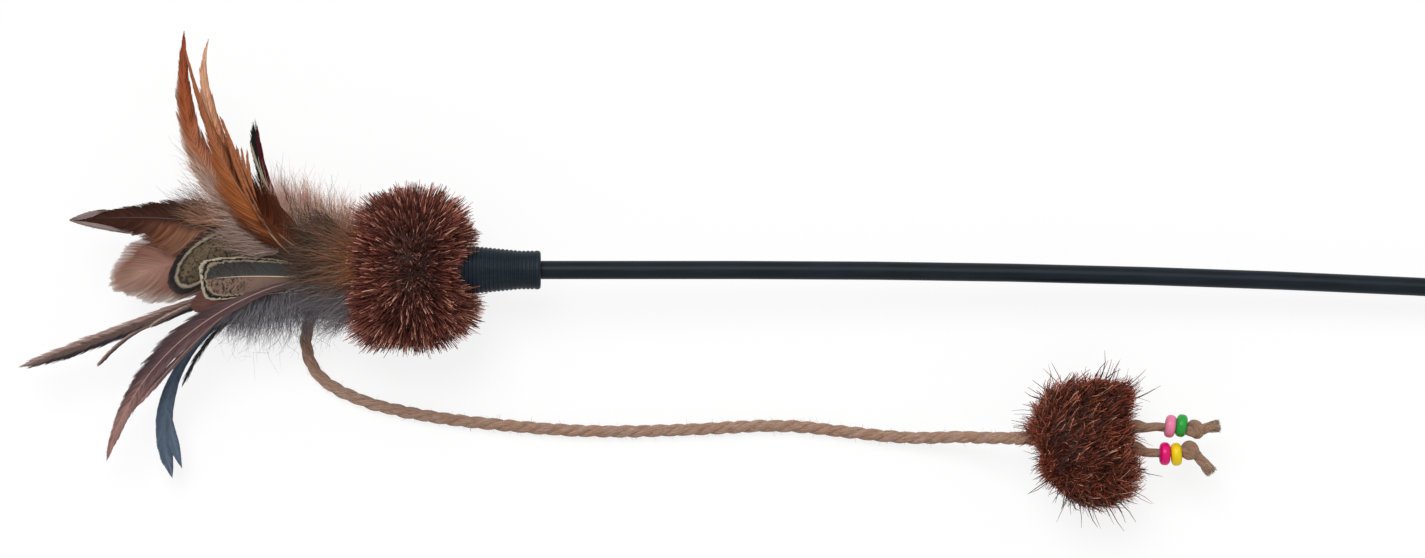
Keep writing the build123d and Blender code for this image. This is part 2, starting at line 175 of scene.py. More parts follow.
def line_mesh(name, points, **kept):
    """A mesh of one open line through the points. Kept values are vectors or numbers, one for each point."""
    mesh = bpy.data.meshes.new(name)
    mesh.from_pydata(points, [(i, i + 1) for i in range(len(points) - 1)], [])
    for label, values in kept.items():
        keep_on(mesh, label, values)
    return mesh


def keep_on(mesh, label, values):
    """Stores one vector or number on each corner point of a mesh."""
    if isinstance(values[0], Vector):
        store = mesh.attributes.new(label, "FLOAT_VECTOR", "POINT")
        store.data.foreach_set("vector", [part for value in values for part in value])
    else:
        store = mesh.attributes.new(label, "FLOAT", "POINT")
        store.data.foreach_set("value", values)


def start_tree(name, inputs):
    """A new Geometry Nodes tree with these named inputs, and the sockets that bring them in."""
    tree = bpy.data.node_groups.new(name, "GeometryNodeTree")
    for label, kind in inputs.items():
        tree.interface.new_socket(label, in_out="INPUT", socket_type="NodeSocket" + kind)
    tree.interface.new_socket("Made", in_out="OUTPUT", socket_type="NodeSocketGeometry")
    return tree, tree.nodes.new("NodeGroupInput").outputs


def end_tree(tree, shape, finish):
    """Closes a tree: its instances become real, and take their finish."""
    shape = add(tree, "GeometryNodeRealizeInstances", shape)
    shape = add(tree, "GeometryNodeSetMaterial", shape, None, finish)
    add(tree, "NodeGroupOutput", shape)


def vectors(tree, operation, *feeds):
    """A Vector Math node's vector or value."""
    return add(tree, "ShaderNodeVectorMath", *feeds, operation=operation)


def note(tree, shape, label, value, data_type="FLOAT", domain="POINT"):
    """Stores a named value on a shape inside a tree."""
    kind = "GeometryNodeStoreNamedAttribute"
    return add(tree, kind, shape, None, label, value, data_type=data_type, domain=domain)


def recall(tree, label, data_type="FLOAT"):
    """A named value inside a tree."""
    return add(tree, "GeometryNodeInputNamedAttribute", label, data_type=data_type)


def make_piece(name, mesh, tree, sizes):
    """Runs a tree on a mesh with these sizes, and keeps what it makes as a piece with a plain mesh."""
    piece = new_object(name, mesh)
    maker = piece.modifiers.new(tree.name, "NODES")
    maker.node_group = tree
    for item in tree.interface.items_tree:
        if item.in_out == "INPUT" and item.name in sizes:
            maker[item.identifier] = sizes[item.name]
    ready = piece.evaluated_get(bpy.context.evaluated_depsgraph_get())
    made = bpy.data.meshes.new_from_object(ready)
    piece.modifiers.remove(maker)
    piece.data = made
    made.name = name
    bpy.data.meshes.remove(mesh)
    return piece


def join_pieces(name, parts):
    """Joins several pieces into one mesh under a name."""
    with bpy.context.temp_override(active_object=parts[0], selected_editable_objects=parts):
        bpy.ops.object.join()
    parts[0].name = name
    parts[0].data.name = name
    return parts[0]


def twine_tree():
    """Lays plies round a route in a left-handed twist. Each swells and thins as hand-spun yarn does."""
    lump_fineness = 260.0
    ply_shift = 40.0
    lump_height = 0.34
    thinnest = 0.83
    ply_sides = 11
    weld = 0.002 * mm
    tree, given = start_tree("laid_twine", {
        "Route": "Geometry", "Plies": "Int", "Ply Radius": "Float", "Ply Offset": "Float",
        "Lay": "Float", "Step": "Float", "Finish": "Material",
    })
    line = add(tree, "GeometryNodeMeshToCurve", given["Route"])
    line = add(tree, "GeometryNodeResampleCurve", line, None, given["Step"], mode="LENGTH")
    copies = add(tree, "GeometryNodeDuplicateElements", line, None, given["Plies"], domain="SPLINE")
    share = maths(tree, "DIVIDE", copies.node.outputs["Duplicate Index"], given["Plies"])
    line = note(tree, copies, "ply", share, domain="CURVE")
    along = add(tree, "GeometryNodeSplineParameter").node.outputs
    ply = recall(tree, "ply")
    girth = recall(tree, "girth")
    turns = maths(tree, "SUBTRACT", ply, maths(tree, "DIVIDE", along["Length"], given["Lay"]))
    angle = maths(tree, "MULTIPLY", turns, math.tau)
    normal = add(tree, "GeometryNodeInputNormal")
    side = vectors(tree, "CROSS_PRODUCT", add(tree, "GeometryNodeInputTangent"), normal)
    round_one = vectors(tree, "SCALE", normal, maths(tree, "COSINE", angle))
    round_two = vectors(tree, "SCALE", side, maths(tree, "SINE", angle))
    offset = maths(tree, "MULTIPLY", given["Ply Offset"], girth)
    out = vectors(tree, "SCALE", vectors(tree, "ADD", round_one, round_two), offset)
    line = note(tree, line, "run", along["Length"])
    line = note(tree, line, "share", along["Factor"])
    line = add(tree, "GeometryNodeSetPosition", line, None, None, out)
    shift = maths(tree, "MULTIPLY", ply, ply_shift)
    place = maths(tree, "MULTIPLY_ADD", recall(tree, "run"), lump_fineness, shift)
    lumps = add(tree, "ShaderNodeTexNoise", place, 1.0, 2.0, noise_dimensions="1D")
    swell = maths(tree, "MULTIPLY", maths(tree, "MULTIPLY_ADD", lumps, lump_height, thinnest), girth)
    section = add(tree, "GeometryNodeCurveArc", ply_sides)
    section.node.inputs["Radius"].default_value = 1.0
    section.node.inputs["Sweep Angle"].default_value = math.tau
    section = note(tree, section, "round", add(tree, "GeometryNodeSplineParameter"))
    thick = maths(tree, "MULTIPLY", given["Ply Radius"], swell)
    tube = add(tree, "GeometryNodeCurveToMesh", line, section, thick, True)
    place = add(tree, "ShaderNodeCombineXYZ", recall(tree, "round"), recall(tree, "share"), 0.0)
    tube = note(tree, tube, "OFBake", place, "FLOAT2", "CORNER")
    tube = add(tree, "GeometryNodeMergeByDistance", tube, None, weld)
    end_tree(tree, tube, given["Finish"])
    return tree


def new_finish(name):
    """An empty material, its node tree, and its Principled shader."""
    finish = bpy.data.materials.new(name)
    finish.use_nodes = True
    tree = finish.node_tree
    tree.nodes.clear()
    shader = add(tree, "ShaderNodeBsdfPrincipled")
    add(tree, "ShaderNodeOutputMaterial", shader)
    return finish, tree, shader.node


def blend_colours(tree, share, one, two, blend="MIX"):
    """Mixes two colours."""
    return add(tree, "ShaderNodeMix", share, one, two, data_type="RGBA", blend_type=blend)


def ramp(tree, value, *stops):
    """A colour ramp through (place, colour) stops."""
    made = add(tree, "ShaderNodeValToRGB", value)
    band = made.node.color_ramp
    while len(band.elements) < len(stops):
        band.elements.new(1.0)
    for element, (place, colour) in zip(band.elements, stops):
        element.position = place
        element.color = (*colour, 1)
    return made


def feed(tree, shader, name, value):
    """Links or sets one of a shader's inputs."""
    if isinstance(value, bpy.types.NodeSocket):
        tree.links.new(value, shader.inputs[name])
    else:
        shader.inputs[name].default_value = value


def baked_place(tree):
    """A piece's own places, from its UV map."""
    return add(tree, "ShaderNodeSeparateXYZ", add(tree, "ShaderNodeUVMap", uv_map="OFBake")).node.outputs


def object_place(tree):
    """The place of a point in the frame."""
    return add(tree, "ShaderNodeTexCoord").node.outputs["Object"]


def jute_finish(name, tone):
    """Dry tan jute: long fibres along each ply, dark between them, with bleached and rusty flecks."""
    fibre_stretch = 30.0
    patch_fineness = 210.0
    rusty = (0.95, 0.78, 0.62, 1)
    finish, tree, shader = new_finish(name)
    place = baked_place(tree)
    angle = maths(tree, "MULTIPLY", place["X"], math.tau)
    height = maths(tree, "MULTIPLY", place["Y"], fibre_stretch)
    spot = add(
        tree, "ShaderNodeCombineXYZ", maths(tree, "COSINE", angle), maths(tree, "SINE", angle), height)
    fibres = add(tree, "ShaderNodeTexNoise", spot, 4.5, 4.0, 0.65)
    patches = add(tree, "ShaderNodeTexNoise", object_place(tree), patch_fineness, 2.0)
    stops = (
        (0.26, (0.15, 0.085, 0.055)), (0.45, (0.33, 0.2, 0.145)), (0.6, (0.44, 0.285, 0.215)),
        (0.76, (0.63, 0.46, 0.35)),
    )
    colour = ramp(
        tree, fibres, *[(place, tuple(a * b for a, b in zip(shade, tone))) for place, shade in stops])
    warm = blend_colours(tree, 1.0, colour, rusty, "MULTIPLY")
    share = maths(tree, "MULTIPLY", maths(tree, "SUBTRACT", patches, 0.42), 2.0)
    colour = blend_colours(tree, share, colour, warm)
    feed(tree, shader, "Base Color", colour)
    feed(tree, shader, "Roughness", maths(tree, "MULTIPLY_ADD", fibres, -0.3, 0.95))
    feed(tree, shader, "Specular IOR Level", 0.15)
    feed(tree, shader, "Sheen Weight", 0.25)
    bump = add(tree, "ShaderNodeBump", 0.7, 0.3 * mm, None, fibres)
    feed(tree, shader, "Normal", bump)
    return finish


laid_twine = twine_tree()
jute_tan = jute_finish("jute_tan", tone=(1, 1, 1))
twine_sizes = {
    "Plies": twine_plies, "Ply Radius": twine_ply_radius, "Ply Offset": twine_ply_offset,
    "Lay": twine_lay, "Step": 0.5 * mm, "Finish": jute_tan,
}


def lay_twine(name, points, sizes, girths=None):
    """Twine laid along points. Girths tell how full it is at each of them."""
    girths = girths or [1.0] * len(points)
    return make_piece(name, line_mesh(name, points, girth=girths), laid_twine, sizes)


line_points = read_route(line_route)
twine = lay_twine("twine_line", line_points, twine_sizes)
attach(twine, "line")
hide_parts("twine")


# The rod: a thin extruded plastic rod, black with a cold cast, drawn smooth and a little bowed.
# Handling has left faint rubbed streaks along it. Its far end carries a plain moulded cap.
def start_group(name, inputs, outputs):
    """A new shader node group with these named sockets, and the sockets that bring its inputs in."""
    group = bpy.data.node_groups.new(name, "ShaderNodeTree")
    for way, sockets in (("INPUT", inputs), ("OUTPUT", outputs)):
        for label, kind in sockets.items():
            group.interface.new_socket(label, in_out=way, socket_type="NodeSocket" + kind)
    return group, group.nodes.new("NodeGroupInput").outputs


def streak_group():
    """Faint rubbed streaks along X for plain black plastic: a mask and a height."""
    group, given = start_group(
        "rubbed_streaks", {"Fineness": "Float"}, {"Mask": "Float", "Height": "Float"})
    drawn_out = (0.06, 1.0, 1.0)
    grain_fineness = 5200.0
    cloud_fineness = 60.0
    place = object_place(group)
    drawn = vectors(group, "MULTIPLY", place, drawn_out)
    lines = add(group, "ShaderNodeTexNoise", drawn, given["Fineness"], 3.0, 0.6)
    grain = add(group, "ShaderNodeTexNoise", place, grain_fineness, 2.0)
    cloud = add(group, "ShaderNodeTexNoise", place, cloud_fineness, 3.0)
    worn = maths(group, "MULTIPLY", lines, cloud)
    height = maths(group, "MULTIPLY_ADD", grain, 0.4, lines)
    add(group, "NodeGroupOutput", worn, height)
    return group


rubbed_streaks = streak_group()


def black_plastic(name, dark, worn, roughness, fineness, bump_depth):
    """Black plastic that is a little paler where hands have rubbed it."""
    finish, tree, shader = new_finish(name)
    marks = add(tree, "ShaderNodeGroup", node_tree=rubbed_streaks).node
    marks.inputs["Fineness"].default_value = fineness
    share = add(tree, "ShaderNodeMapRange", marks.outputs["Mask"], 0.18, 0.42, 0.0, 1.0)
    feed(tree, shader, "Base Color", blend_colours(tree, share, (*dark, 1), (*worn, 1)))
    feed(tree, shader, "Roughness", maths(tree, "MULTIPLY_ADD", share, 0.12, roughness))
    feed(tree, shader, "Specular IOR Level", 0.13)
    bump = add(tree, "ShaderNodeBump", 0.25, bump_depth, None, marks.outputs["Height"])
    feed(tree, shader, "Normal", bump)
    return finish


def paint_node(node, finish):
    """Gives a CAD node its finish."""
    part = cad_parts[node]
    if not part.material_slots:
        part.data.materials.append(finish)
    for place in part.material_slots:
        place.material = finish


paint_node("rod", black_plastic(
    "rod_black", dark=(0.004, 0.009, 0.013), worn=(0.01, 0.016, 0.023), roughness=0.36, fineness=1500.0,
    bump_depth=0.04 * mm))
paint_node("rod_cap", black_plastic(
    "cap_black", dark=(0.011, 0.014, 0.017), worn=(0.022, 0.026, 0.03), roughness=0.48, fineness=900.0,
    bump_depth=0.05 * mm))


# The collar: a ribbed cone of soft black plastic pushed on the rod, wide where it swallows the quills.
# Inside it set glue holds the quill ends, and wound thread binds them and the pom-pom.
paint_node("ferrule", black_plastic(
    "collar_black", dark=(0.008, 0.015, 0.022), worn=(0.02, 0.031, 0.043), roughness=0.42,
    fineness=1100.0, bump_depth=0.05 * mm))


def amber_glue():
    """Set hot-melt glue: cloudy amber with small bubbles."""
    cloud_fineness = 420.0
    bubble_fineness = 900.0
    finish, tree, shader = new_finish("amber_glue")
    place = object_place(tree)
    cloud = add(tree, "ShaderNodeTexNoise", place, cloud_fineness, 3.0)
    feed(tree, shader, "Base Color", ramp(tree, cloud, (0.3, (0.36, 0.25, 0.11)), (0.7, (0.6, 0.48, 0.28))))
    feed(tree, shader, "Roughness", maths(tree, "MULTIPLY_ADD", cloud, 0.2, 0.25))
    bubbles = add(tree, "ShaderNodeTexVoronoi", place, bubble_fineness)
    feed(tree, shader, "Normal", add(tree, "ShaderNodeBump", 0.3, 0.1 * mm, None, bubbles))
    return finish


def wound_thread():
    """Dark polyester thread wound round and round: fine turns across the wand's line."""
    turn_fineness = 600.0
    finish, tree, shader = new_finish("wound_thread")
    place = object_place(tree)
    turns = add(tree, "ShaderNodeTexWave", place, turn_fineness, 0.8, 2.0, 3.0, bands_direction="X")
    turns = turns.node.outputs["Fac"]
    feed(
        tree, shader, "Base Color",
        ramp(tree, turns, (0.2, (0.02, 0.012, 0.01)), (0.8, (0.09, 0.05, 0.04))))
    feed(tree, shader, "Roughness", maths(tree, "MULTIPLY_ADD", turns, -0.2, 0.7))
    feed(tree, shader, "Normal", add(tree, "ShaderNodeBump", 0.6, 0.15 * mm, None, turns))
    return finish


thread_dark = wound_thread()
paint_node("glue_plug", amber_glue())
paint_node("quill_binding", thread_dark)
paint_node("pompom_tie", thread_dark)


# The pom-pom: thousands of stiff copper-brown tinsel fibres tied round the wand at their middle and
# trimmed to two rounded lobes. They stand straight out of the tie and end in pointed tips.
wand_slope = math.radians(1.961)
wand_middle = Vector((0, 0, 19.9)) * mm
wand_along = Vector((math.cos(wand_slope), 0, -math.sin(wand_slope)))
wand_up = Vector((math.sin(wand_slope), 0, math.cos(wand_slope)))


def strand_tree():
    """Draws one tapered fibre from each point: along its way, with a lean, a curl and a flat section.
    A fibre that comes down on the table lies along it."""
    tree, given = start_tree("drawn_strands", {
        "Points": "Geometry", "Steps": "Int", "Width": "Float", "Taper": "Float", "Flat": "Float",
        "Curl": "Float", "Waves": "Float", "Twist": "Float",
    })
    phase_spread = 37.0
    second_wave = 0.73
    point_power = 1.6
    lowest = (-10.0, -10.0, 0.25 * mm)
    unit = add(tree, "GeometryNodeCurvePrimitiveLine", (0, 0, 0), (0, 0, 1))
    unit = add(tree, "GeometryNodeResampleCurve", unit, None, given["Steps"])
    drawn = add(tree, "GeometryNodeInstanceOnPoints", given["Points"], None, unit)
    drawn = add(tree, "GeometryNodeRealizeInstances", drawn)
    share = add(tree, "GeometryNodeSplineParameter")
    drawn = note(tree, drawn, "share", share)
    root = recall(tree, "root", "FLOAT_VECTOR")
    way = recall(tree, "way", "FLOAT_VECTOR")
    lean = recall(tree, "lean", "FLOAT_VECTOR")
    sway = recall(tree, "sway", "FLOAT_VECTOR")
    shade = recall(tree, "shade")
    share = recall(tree, "share")
    spare = maths(tree, "MULTIPLY", share, maths(tree, "SUBTRACT", 1.0, share))
    place = vectors(tree, "ADD", root, vectors(tree, "SCALE", way, share))
    place = vectors(tree, "ADD", place, vectors(tree, "SCALE", lean, maths(tree, "MULTIPLY", spare, 2.0)))
    reach = maths(tree, "MULTIPLY", vectors(tree, "LENGTH", way), given["Curl"])
    reach = maths(tree, "MULTIPLY", reach, share)
    phase = maths(tree, "MULTIPLY", shade, phase_spread)
    angle = maths(tree, "MULTIPLY_ADD", maths(tree, "MULTIPLY", share, given["Waves"]), math.tau, phase)
    one = maths(tree, "MULTIPLY", maths(tree, "SINE", angle), reach)
    angle = maths(tree, "MULTIPLY_ADD", angle, second_wave, phase)
    two = maths(tree, "MULTIPLY", maths(tree, "SINE", angle), reach)
    across = vectors(tree, "NORMALIZE", vectors(tree, "CROSS_PRODUCT", sway, way))
    place = vectors(tree, "ADD", place, vectors(tree, "SCALE", vectors(tree, "NORMALIZE", sway), one))
    place = vectors(tree, "ADD", place, vectors(tree, "SCALE", across, two))
    place = vectors(tree, "MAXIMUM", place, lowest)
    drawn = add(tree, "GeometryNodeSetPosition", drawn, None, place)
    drawn = add(tree, "GeometryNodeSetCurveNormal", drawn, mode="Z_UP")
    drawn = add(
        tree, "GeometryNodeSetCurveTilt", drawn, None, maths(tree, "MULTIPLY", shade, given["Twist"]))
    section = add(tree, "GeometryNodeCurvePrimitiveCircle", 3, 0.5)
    squeeze = add(tree, "ShaderNodeCombineXYZ", 1.0, given["Flat"], 1.0)
    section = add(tree, "GeometryNodeTransform", section, None, None, squeeze)
    narrow = maths(tree, "MULTIPLY", maths(tree, "POWER", share, point_power), given["Taper"])
    thick = maths(tree, "MULTIPLY", given["Width"], maths(tree, "SUBTRACT", 1.0, narrow))
    drawn = add(tree, "GeometryNodeCurveToMesh", drawn, section, thick, True)
    sheet = maths(
        tree, "MULTIPLY_ADD", recall(tree, "share"), recall(tree, "v_gain"), recall(tree, "v_start"))
    spot = add(tree, "ShaderNodeCombineXYZ", recall(tree, "u_place"), sheet, 0.0)
    drawn = note(tree, drawn, "OFBake", spot, "FLOAT2", "CORNER")
    for label in ("root", "way", "lean", "sway", "v_gain", "v_start", "u_place", "share", "shade", "reach"):
        drawn = add(tree, "GeometryNodeRemoveAttribute", drawn, label)
    add(tree, "NodeGroupOutput", drawn)
    return tree


def chance(tree, low, high, seed, step):
    """A random number or vector for each point, from a seed and a step past it."""
    kind = "FLOAT_VECTOR" if isinstance(low, tuple) else "FLOAT"
    return add(
        tree, "FunctionNodeRandomValue", low, high, None, maths(tree, "ADD", seed, step), data_type=kind)


def fibre_tree(strands):
    """Sows fibres all over a bed. The bed's own reach says where the tip of each would come."""
    tree, given = start_tree("sown_fibres", {
        "Bed": "Geometry", "Density": "Float", "Seed": "Int", "Spread": "Float", "Scatter": "Float",
        "Clump": "Float", "Clump Size": "Float", "Lean": "Float", "Steps": "Int", "Width": "Float",
        "Taper": "Float", "Flat": "Float", "Curl": "Float", "Waves": "Float", "Twist": "Float",
        "Finish": "Material",
    })
    points = add(
        tree, "GeometryNodeDistributePointsOnFaces", given["Bed"], None, given["Density"], given["Seed"])
    wide = ((-1.0, -1.0, -1.0), (1.0, 1.0, 1.0))
    reach = recall(tree, "reach", "FLOAT_VECTOR")
    size = vectors(tree, "LENGTH", reach)
    loss = maths(tree, "MULTIPLY", chance(tree, 0.0, 1.0, given["Seed"], 1), given["Spread"])
    cut = maths(tree, "SUBTRACT", 1.0, loss)
    far = maths(tree, "MULTIPLY", size, given["Scatter"])
    stray = vectors(tree, "SCALE", chance(tree, *wide, given["Seed"], 2), far)
    way = vectors(tree, "ADD", vectors(tree, "SCALE", reach, cut), stray)
    fineness = maths(tree, "DIVIDE", 1.0, given["Clump Size"])
    clump = add(tree, "ShaderNodeTexNoise", add(tree, "GeometryNodeInputPosition"), fineness, 1.0)
    clump = clump.node.outputs["Color"]
    clump = vectors(tree, "SUBTRACT", clump, (0.5, 0.5, 0.5))
    clump = vectors(tree, "SCALE", clump, maths(tree, "MULTIPLY", size, given["Clump"]))
    way = vectors(tree, "ADD", way, clump)
    far = maths(tree, "MULTIPLY", size, given["Lean"])
    bow = vectors(tree, "SCALE", chance(tree, *wide, given["Seed"], 3), far)
    shade = chance(tree, 0.0, 1.0, given["Seed"], 4)
    points = note(tree, points, "way", way, "FLOAT_VECTOR")
    points = note(tree, points, "lean", bow, "FLOAT_VECTOR")
    points = note(tree, points, "root", add(tree, "GeometryNodeInputPosition"), "FLOAT_VECTOR")
    points = note(tree, points, "sway", chance(tree, *wide, given["Seed"], 5), "FLOAT_VECTOR")
    points = note(tree, points, "shade", shade)
    points = note(tree, points, "u_place", recall(tree, "shade"))
    points = note(tree, points, "v_start", 0.0)
    points = note(tree, points, "v_gain", 1.0)
    sizes = [given[label] for label in ("Steps", "Width", "Taper", "Flat", "Curl", "Waves", "Twist")]
    drawn = add(tree, "GeometryNodeGroup", points, *sizes, node_tree=strands)
    end_tree(tree, drawn, given["Finish"])
    return tree


def grid_mesh(name, rows, closed=False):
    """A mesh of rows of points. Each item is a place and the reach that is kept there."""
    mesh = bpy.data.meshes.new(name)
    width = len(rows[0])
    items = [item for row in rows for item in row]
    faces = []
    for i in range(len(rows) if closed else len(rows) - 1):
        here = i * width
        there = (i + 1) % len(rows) * width
        faces += [(here + j, here + j + 1, there + j + 1, there + j) for j in range(width - 1)]
    mesh.from_pydata([place for place, reach in items], [], faces)
    keep_on(mesh, "reach", [reach for place, reach in items])
    return mesh


def rounded(value, corner):
    """A sine or cosine, with the corners of its shape filled out where corner is under 1."""
    return math.copysign(abs(value) ** corner, value)


def bulge_gain(turn, bow, ring, half_length, radius, corner, bulges):
    """How far a lobe bulges or dents at its sides. Each bulge is an angle, a width and an amount."""
    tall = ring + (radius - ring) * rounded(math.cos(bow), corner)
    long = half_length * rounded(math.sin(bow), corner)
    facing = math.degrees(math.atan2(tall * math.cos(turn), long)) % 360
    out = sum(amount * math.exp(-((facing - angle) / width) ** 2) for angle, width, amount in bulges)
    return 1.0 + abs(math.cos(turn)) * out


def lobed_bed(name, middle, along, up, ring, half_length, radius, start, near, far, form, corner=1.0):
    """The roots of a pom-pom's fibres: rings round its line. Each keeps its reach to the trimmed outside."""
    side = up.cross(along)
    rows = []
    turns, bows = 72, 36
    for i in range(turns):
        turn = math.tau * i / turns
        out = side * math.cos(turn) + up * math.sin(turn)
        row = []
        for j in range(bows + 1):
            bow = math.radians(near + (far - near) * j / bows)
            tall_gain, long_gain = form(turn, bow)
            tall = (radius * tall_gain - ring) * rounded(math.cos(bow), corner)
            long = half_length * long_gain * rounded(math.sin(bow), corner)
            root = middle + out * (ring + tall * start) + along * long * start
            tip = middle + out * (ring + tall) + along * long
            row.append((root, tip - root))
        rows.append(row)
    return grid_mesh(name, rows, closed=True)


def scale_colour(tree, colour, gain):
    """A colour made darker or lighter by a number."""
    return blend_colours(tree, 1.0, colour, add(tree, "ShaderNodeCombineXYZ", gain, gain, gain), "MULTIPLY")


def copper_finish(name, dark, copper, glint):
    """Copper-brown tinsel: most fibres red-brown, some bright copper, a few with pale glints as painted
    highlights. Painted shade darkens each fibre towards its root, and painted light brightens its tip.
    """
    tuft_fineness = 170.0
    finish, tree, shader = new_finish(name)
    place = baked_place(tree)
    middle = tuple((a + b) / 2 for a, b in zip(dark, copper))
    # The glint stop is a painted highlight: a few fibres carry pale sparkle in their colour.
    colour = ramp(tree, place["X"], (0.0, dark), (0.5, middle), (0.86, copper), (0.95, glint))
    tufts = add(tree, "ShaderNodeTexNoise", object_place(tree), tuft_fineness, 2.0)
    tufts = add(tree, "ShaderNodeMapRange", tufts, 0.36, 0.64, 0.62, 1.34)
    # Painted shade and light: each fibre darkens towards its root, as if shaded deep in the pile, and
    # brightens towards its tip, as if lit through. Random tufts then darken or lighten it.
    deep = add(tree, "ShaderNodeMapRange", place["Y"], 0.34, 1.0, 0.24, 1.7)
    deep = maths(tree, "MULTIPLY", deep, tufts)
    colour = scale_colour(tree, colour, deep)
    feed(tree, shader, "Base Color", colour)
    feed(tree, shader, "Roughness", add(tree, "ShaderNodeMapRange", place["X"], 0.0, 1.0, 0.5, 0.26))
    feed(tree, shader, "Specular IOR Level", 0.28)
    feed(tree, shader, "Specular Tint", (1.0, 0.62, 0.5, 1))
    return finish


drawn_strands = strand_tree()
sown_fibres = fibre_tree(drawn_strands)
copper_pile = copper_finish(
    "copper_pile", dark=(0.05, 0.015, 0.012), copper=(0.25, 0.08, 0.058), glint=(0.72, 0.36, 0.26))
pompom_ring = 7.5 * mm
pompom_half_length = 16.9 * mm
pompom_radius = 21.6 * mm
pompom_bulges = (
    (34, 10, -0.1), (130, 12, 0.04), (228, 13, 0.14), (246, 10, 0.02), (265, 10, -0.03), (322, 12, 0.04))


def pompom_form(turn, bow):
    """The pom-pom is pressed flat on the table, cut back at the collar, and full at its corners."""
    pressed = 0.08
    cut_back = 0.34
    tall_gain = 1.0 - pressed * max(0.0, -math.sin(turn)) ** 2
    long_gain = 1.0 - cut_back * max(0.0, math.sin(turn)) ** 4 * max(0.0, math.sin(bow)) ** 2
    bulge = bulge_gain(
        turn, bow, pompom_ring, pompom_half_length, pompom_radius, corner=1.0, bulges=pompom_bulges)
    return tall_gain * bulge, long_gain * bulge


def pompom_bed(name, start):
    """The pom-pom's roots, at a share of the way from its tie to its outside."""
    return lobed_bed(
        name, wand_middle, wand_along, wand_up, pompom_ring, pompom_half_length, pompom_radius, start,
        near=-106, far=92, form=pompom_form)


pompom_bulk = make_piece("pompom_bulk", pompom_bed("pompom_bulk", start=0.42), sown_fibres, {
    "Density": 8.6e6, "Seed": 11, "Spread": 0.24, "Scatter": 0.24, "Clump": 0.5, "Clump Size": 2.6 * mm,
    "Lean": 0.1, "Steps": 3, "Width": 0.47 * mm, "Taper": 0.62, "Flat": 0.6, "Twist": 20.0,
    "Finish": copper_pile,
})
bright_copper = copper_finish(
    "bright_copper", dark=(0.2, 0.065, 0.045), copper=(0.5, 0.2, 0.14), glint=(0.85, 0.5, 0.38))
pompom_bright = make_piece("pompom_bright", pompom_bed("pompom_bright", start=0.66), sown_fibres, {
    "Density": 1.2e5, "Seed": 17, "Spread": 0.2, "Scatter": 0.5, "Lean": 0.1,
    "Steps": 3, "Width": 0.5 * mm, "Taper": 0.6, "Flat": 0.5, "Twist": 20.0, "Finish": bright_copper,
})
pompom = join_pieces("pompom_fibres", [pompom_bulk, pompom_bright])
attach(pompom, "wand")
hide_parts("pompom_pile")


def pile_heart(name, bed, finish):
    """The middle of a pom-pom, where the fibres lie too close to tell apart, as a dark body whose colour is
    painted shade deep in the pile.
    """
    heart = new_object(name, bed)
    bed.materials.append(finish)
    bed.polygons.foreach_set("use_smooth", [True] * len(bed.polygons))
    return heart


def core_shade_finish():
    """Fibre ends packed side by side, with specks of brown, painted nearly black to stand for the shade deep
    inside a pile.
    """
    speck_fineness = 1800.0
    finish, tree, shader = new_finish("shaded_packed_fibre")
    place = object_place(tree)
    specks = add(tree, "ShaderNodeTexVoronoi", place, speck_fineness)
    feed(
        tree, shader, "Base Color",
        ramp(tree, specks, (0.1, (0.09, 0.028, 0.02)), (0.7, (0.022, 0.008, 0.006))))
    feed(tree, shader, "Roughness", maths(tree, "MULTIPLY_ADD", specks, 0.3, 0.6))
    feed(tree, shader, "Normal", add(tree, "ShaderNodeBump", 0.8, 0.4 * mm, None, specks))
    return finish


shaded_packed_fibre = core_shade_finish()
# The heart's near-black colour is painted shade: it darkens the gaps between the fibres.
pompom_heart = pile_heart("pompom_heart", pompom_bed("pompom_heart", start=0.72), shaded_packed_fibre)
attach(pompom_heart, "wand")


# The plume: real feathers, their quills bound in one bundle and pushed into the collar. Each has a tapering
# shaft, and a vane of barbs that spring from it on both sides, sweep to the tip and part here and there.
plume_root = -16.6


def wand_place(along, across, up):
    """A place in the frame, from millimetres along, across and up from the wand's own line."""
    return wand_middle + (wand_along * along + Vector((0, across, 0)) + wand_up * up) * mm


def spine_points(start, lean, reach, tip):
    """Evenly spaced points along a feather's shaft, which bends from start to tip."""
    steps = 80
    raw = []
    for i in range(4 * steps + 1):
        s = i / (4 * steps)
        weights = ((1 - s) ** 3, 3 * s * (1 - s) ** 2, 3 * s * s * (1 - s), s ** 3)
        pulls = zip((start, lean, reach, tip), weights)
        raw.append(sum((point * weight for point, weight in pulls), Vector()))
    return even_points(raw, steps)


def even_points(raw, steps):
    """The same line with evenly spaced points."""
    gone = [0.0]
    for here, there in zip(raw, raw[1:]):
        gone.append(gone[-1] + (there - here).length)
    spaced = []
    k = 0
    for i in range(steps + 1):
        goal = gone[-1] * i / steps
        while k < len(raw) - 2 and gone[k + 1] < goal:
            k += 1
        share = (goal - gone[k]) / max(gone[k + 1] - gone[k], 1e-12)
        spaced.append(raw[k].lerp(raw[k + 1], share))
    return spaced


def clamped(value):
    """A number kept between 0 and 1."""
    return min(max(value, 0.0), 1.0)


def at_share(points, share):
    """The point at a share of the way along evenly spaced points."""
    spot = clamped(share) * (len(points) - 1)
    k = min(int(spot), len(points) - 2)
    return points[k].lerp(points[k + 1], spot - k)


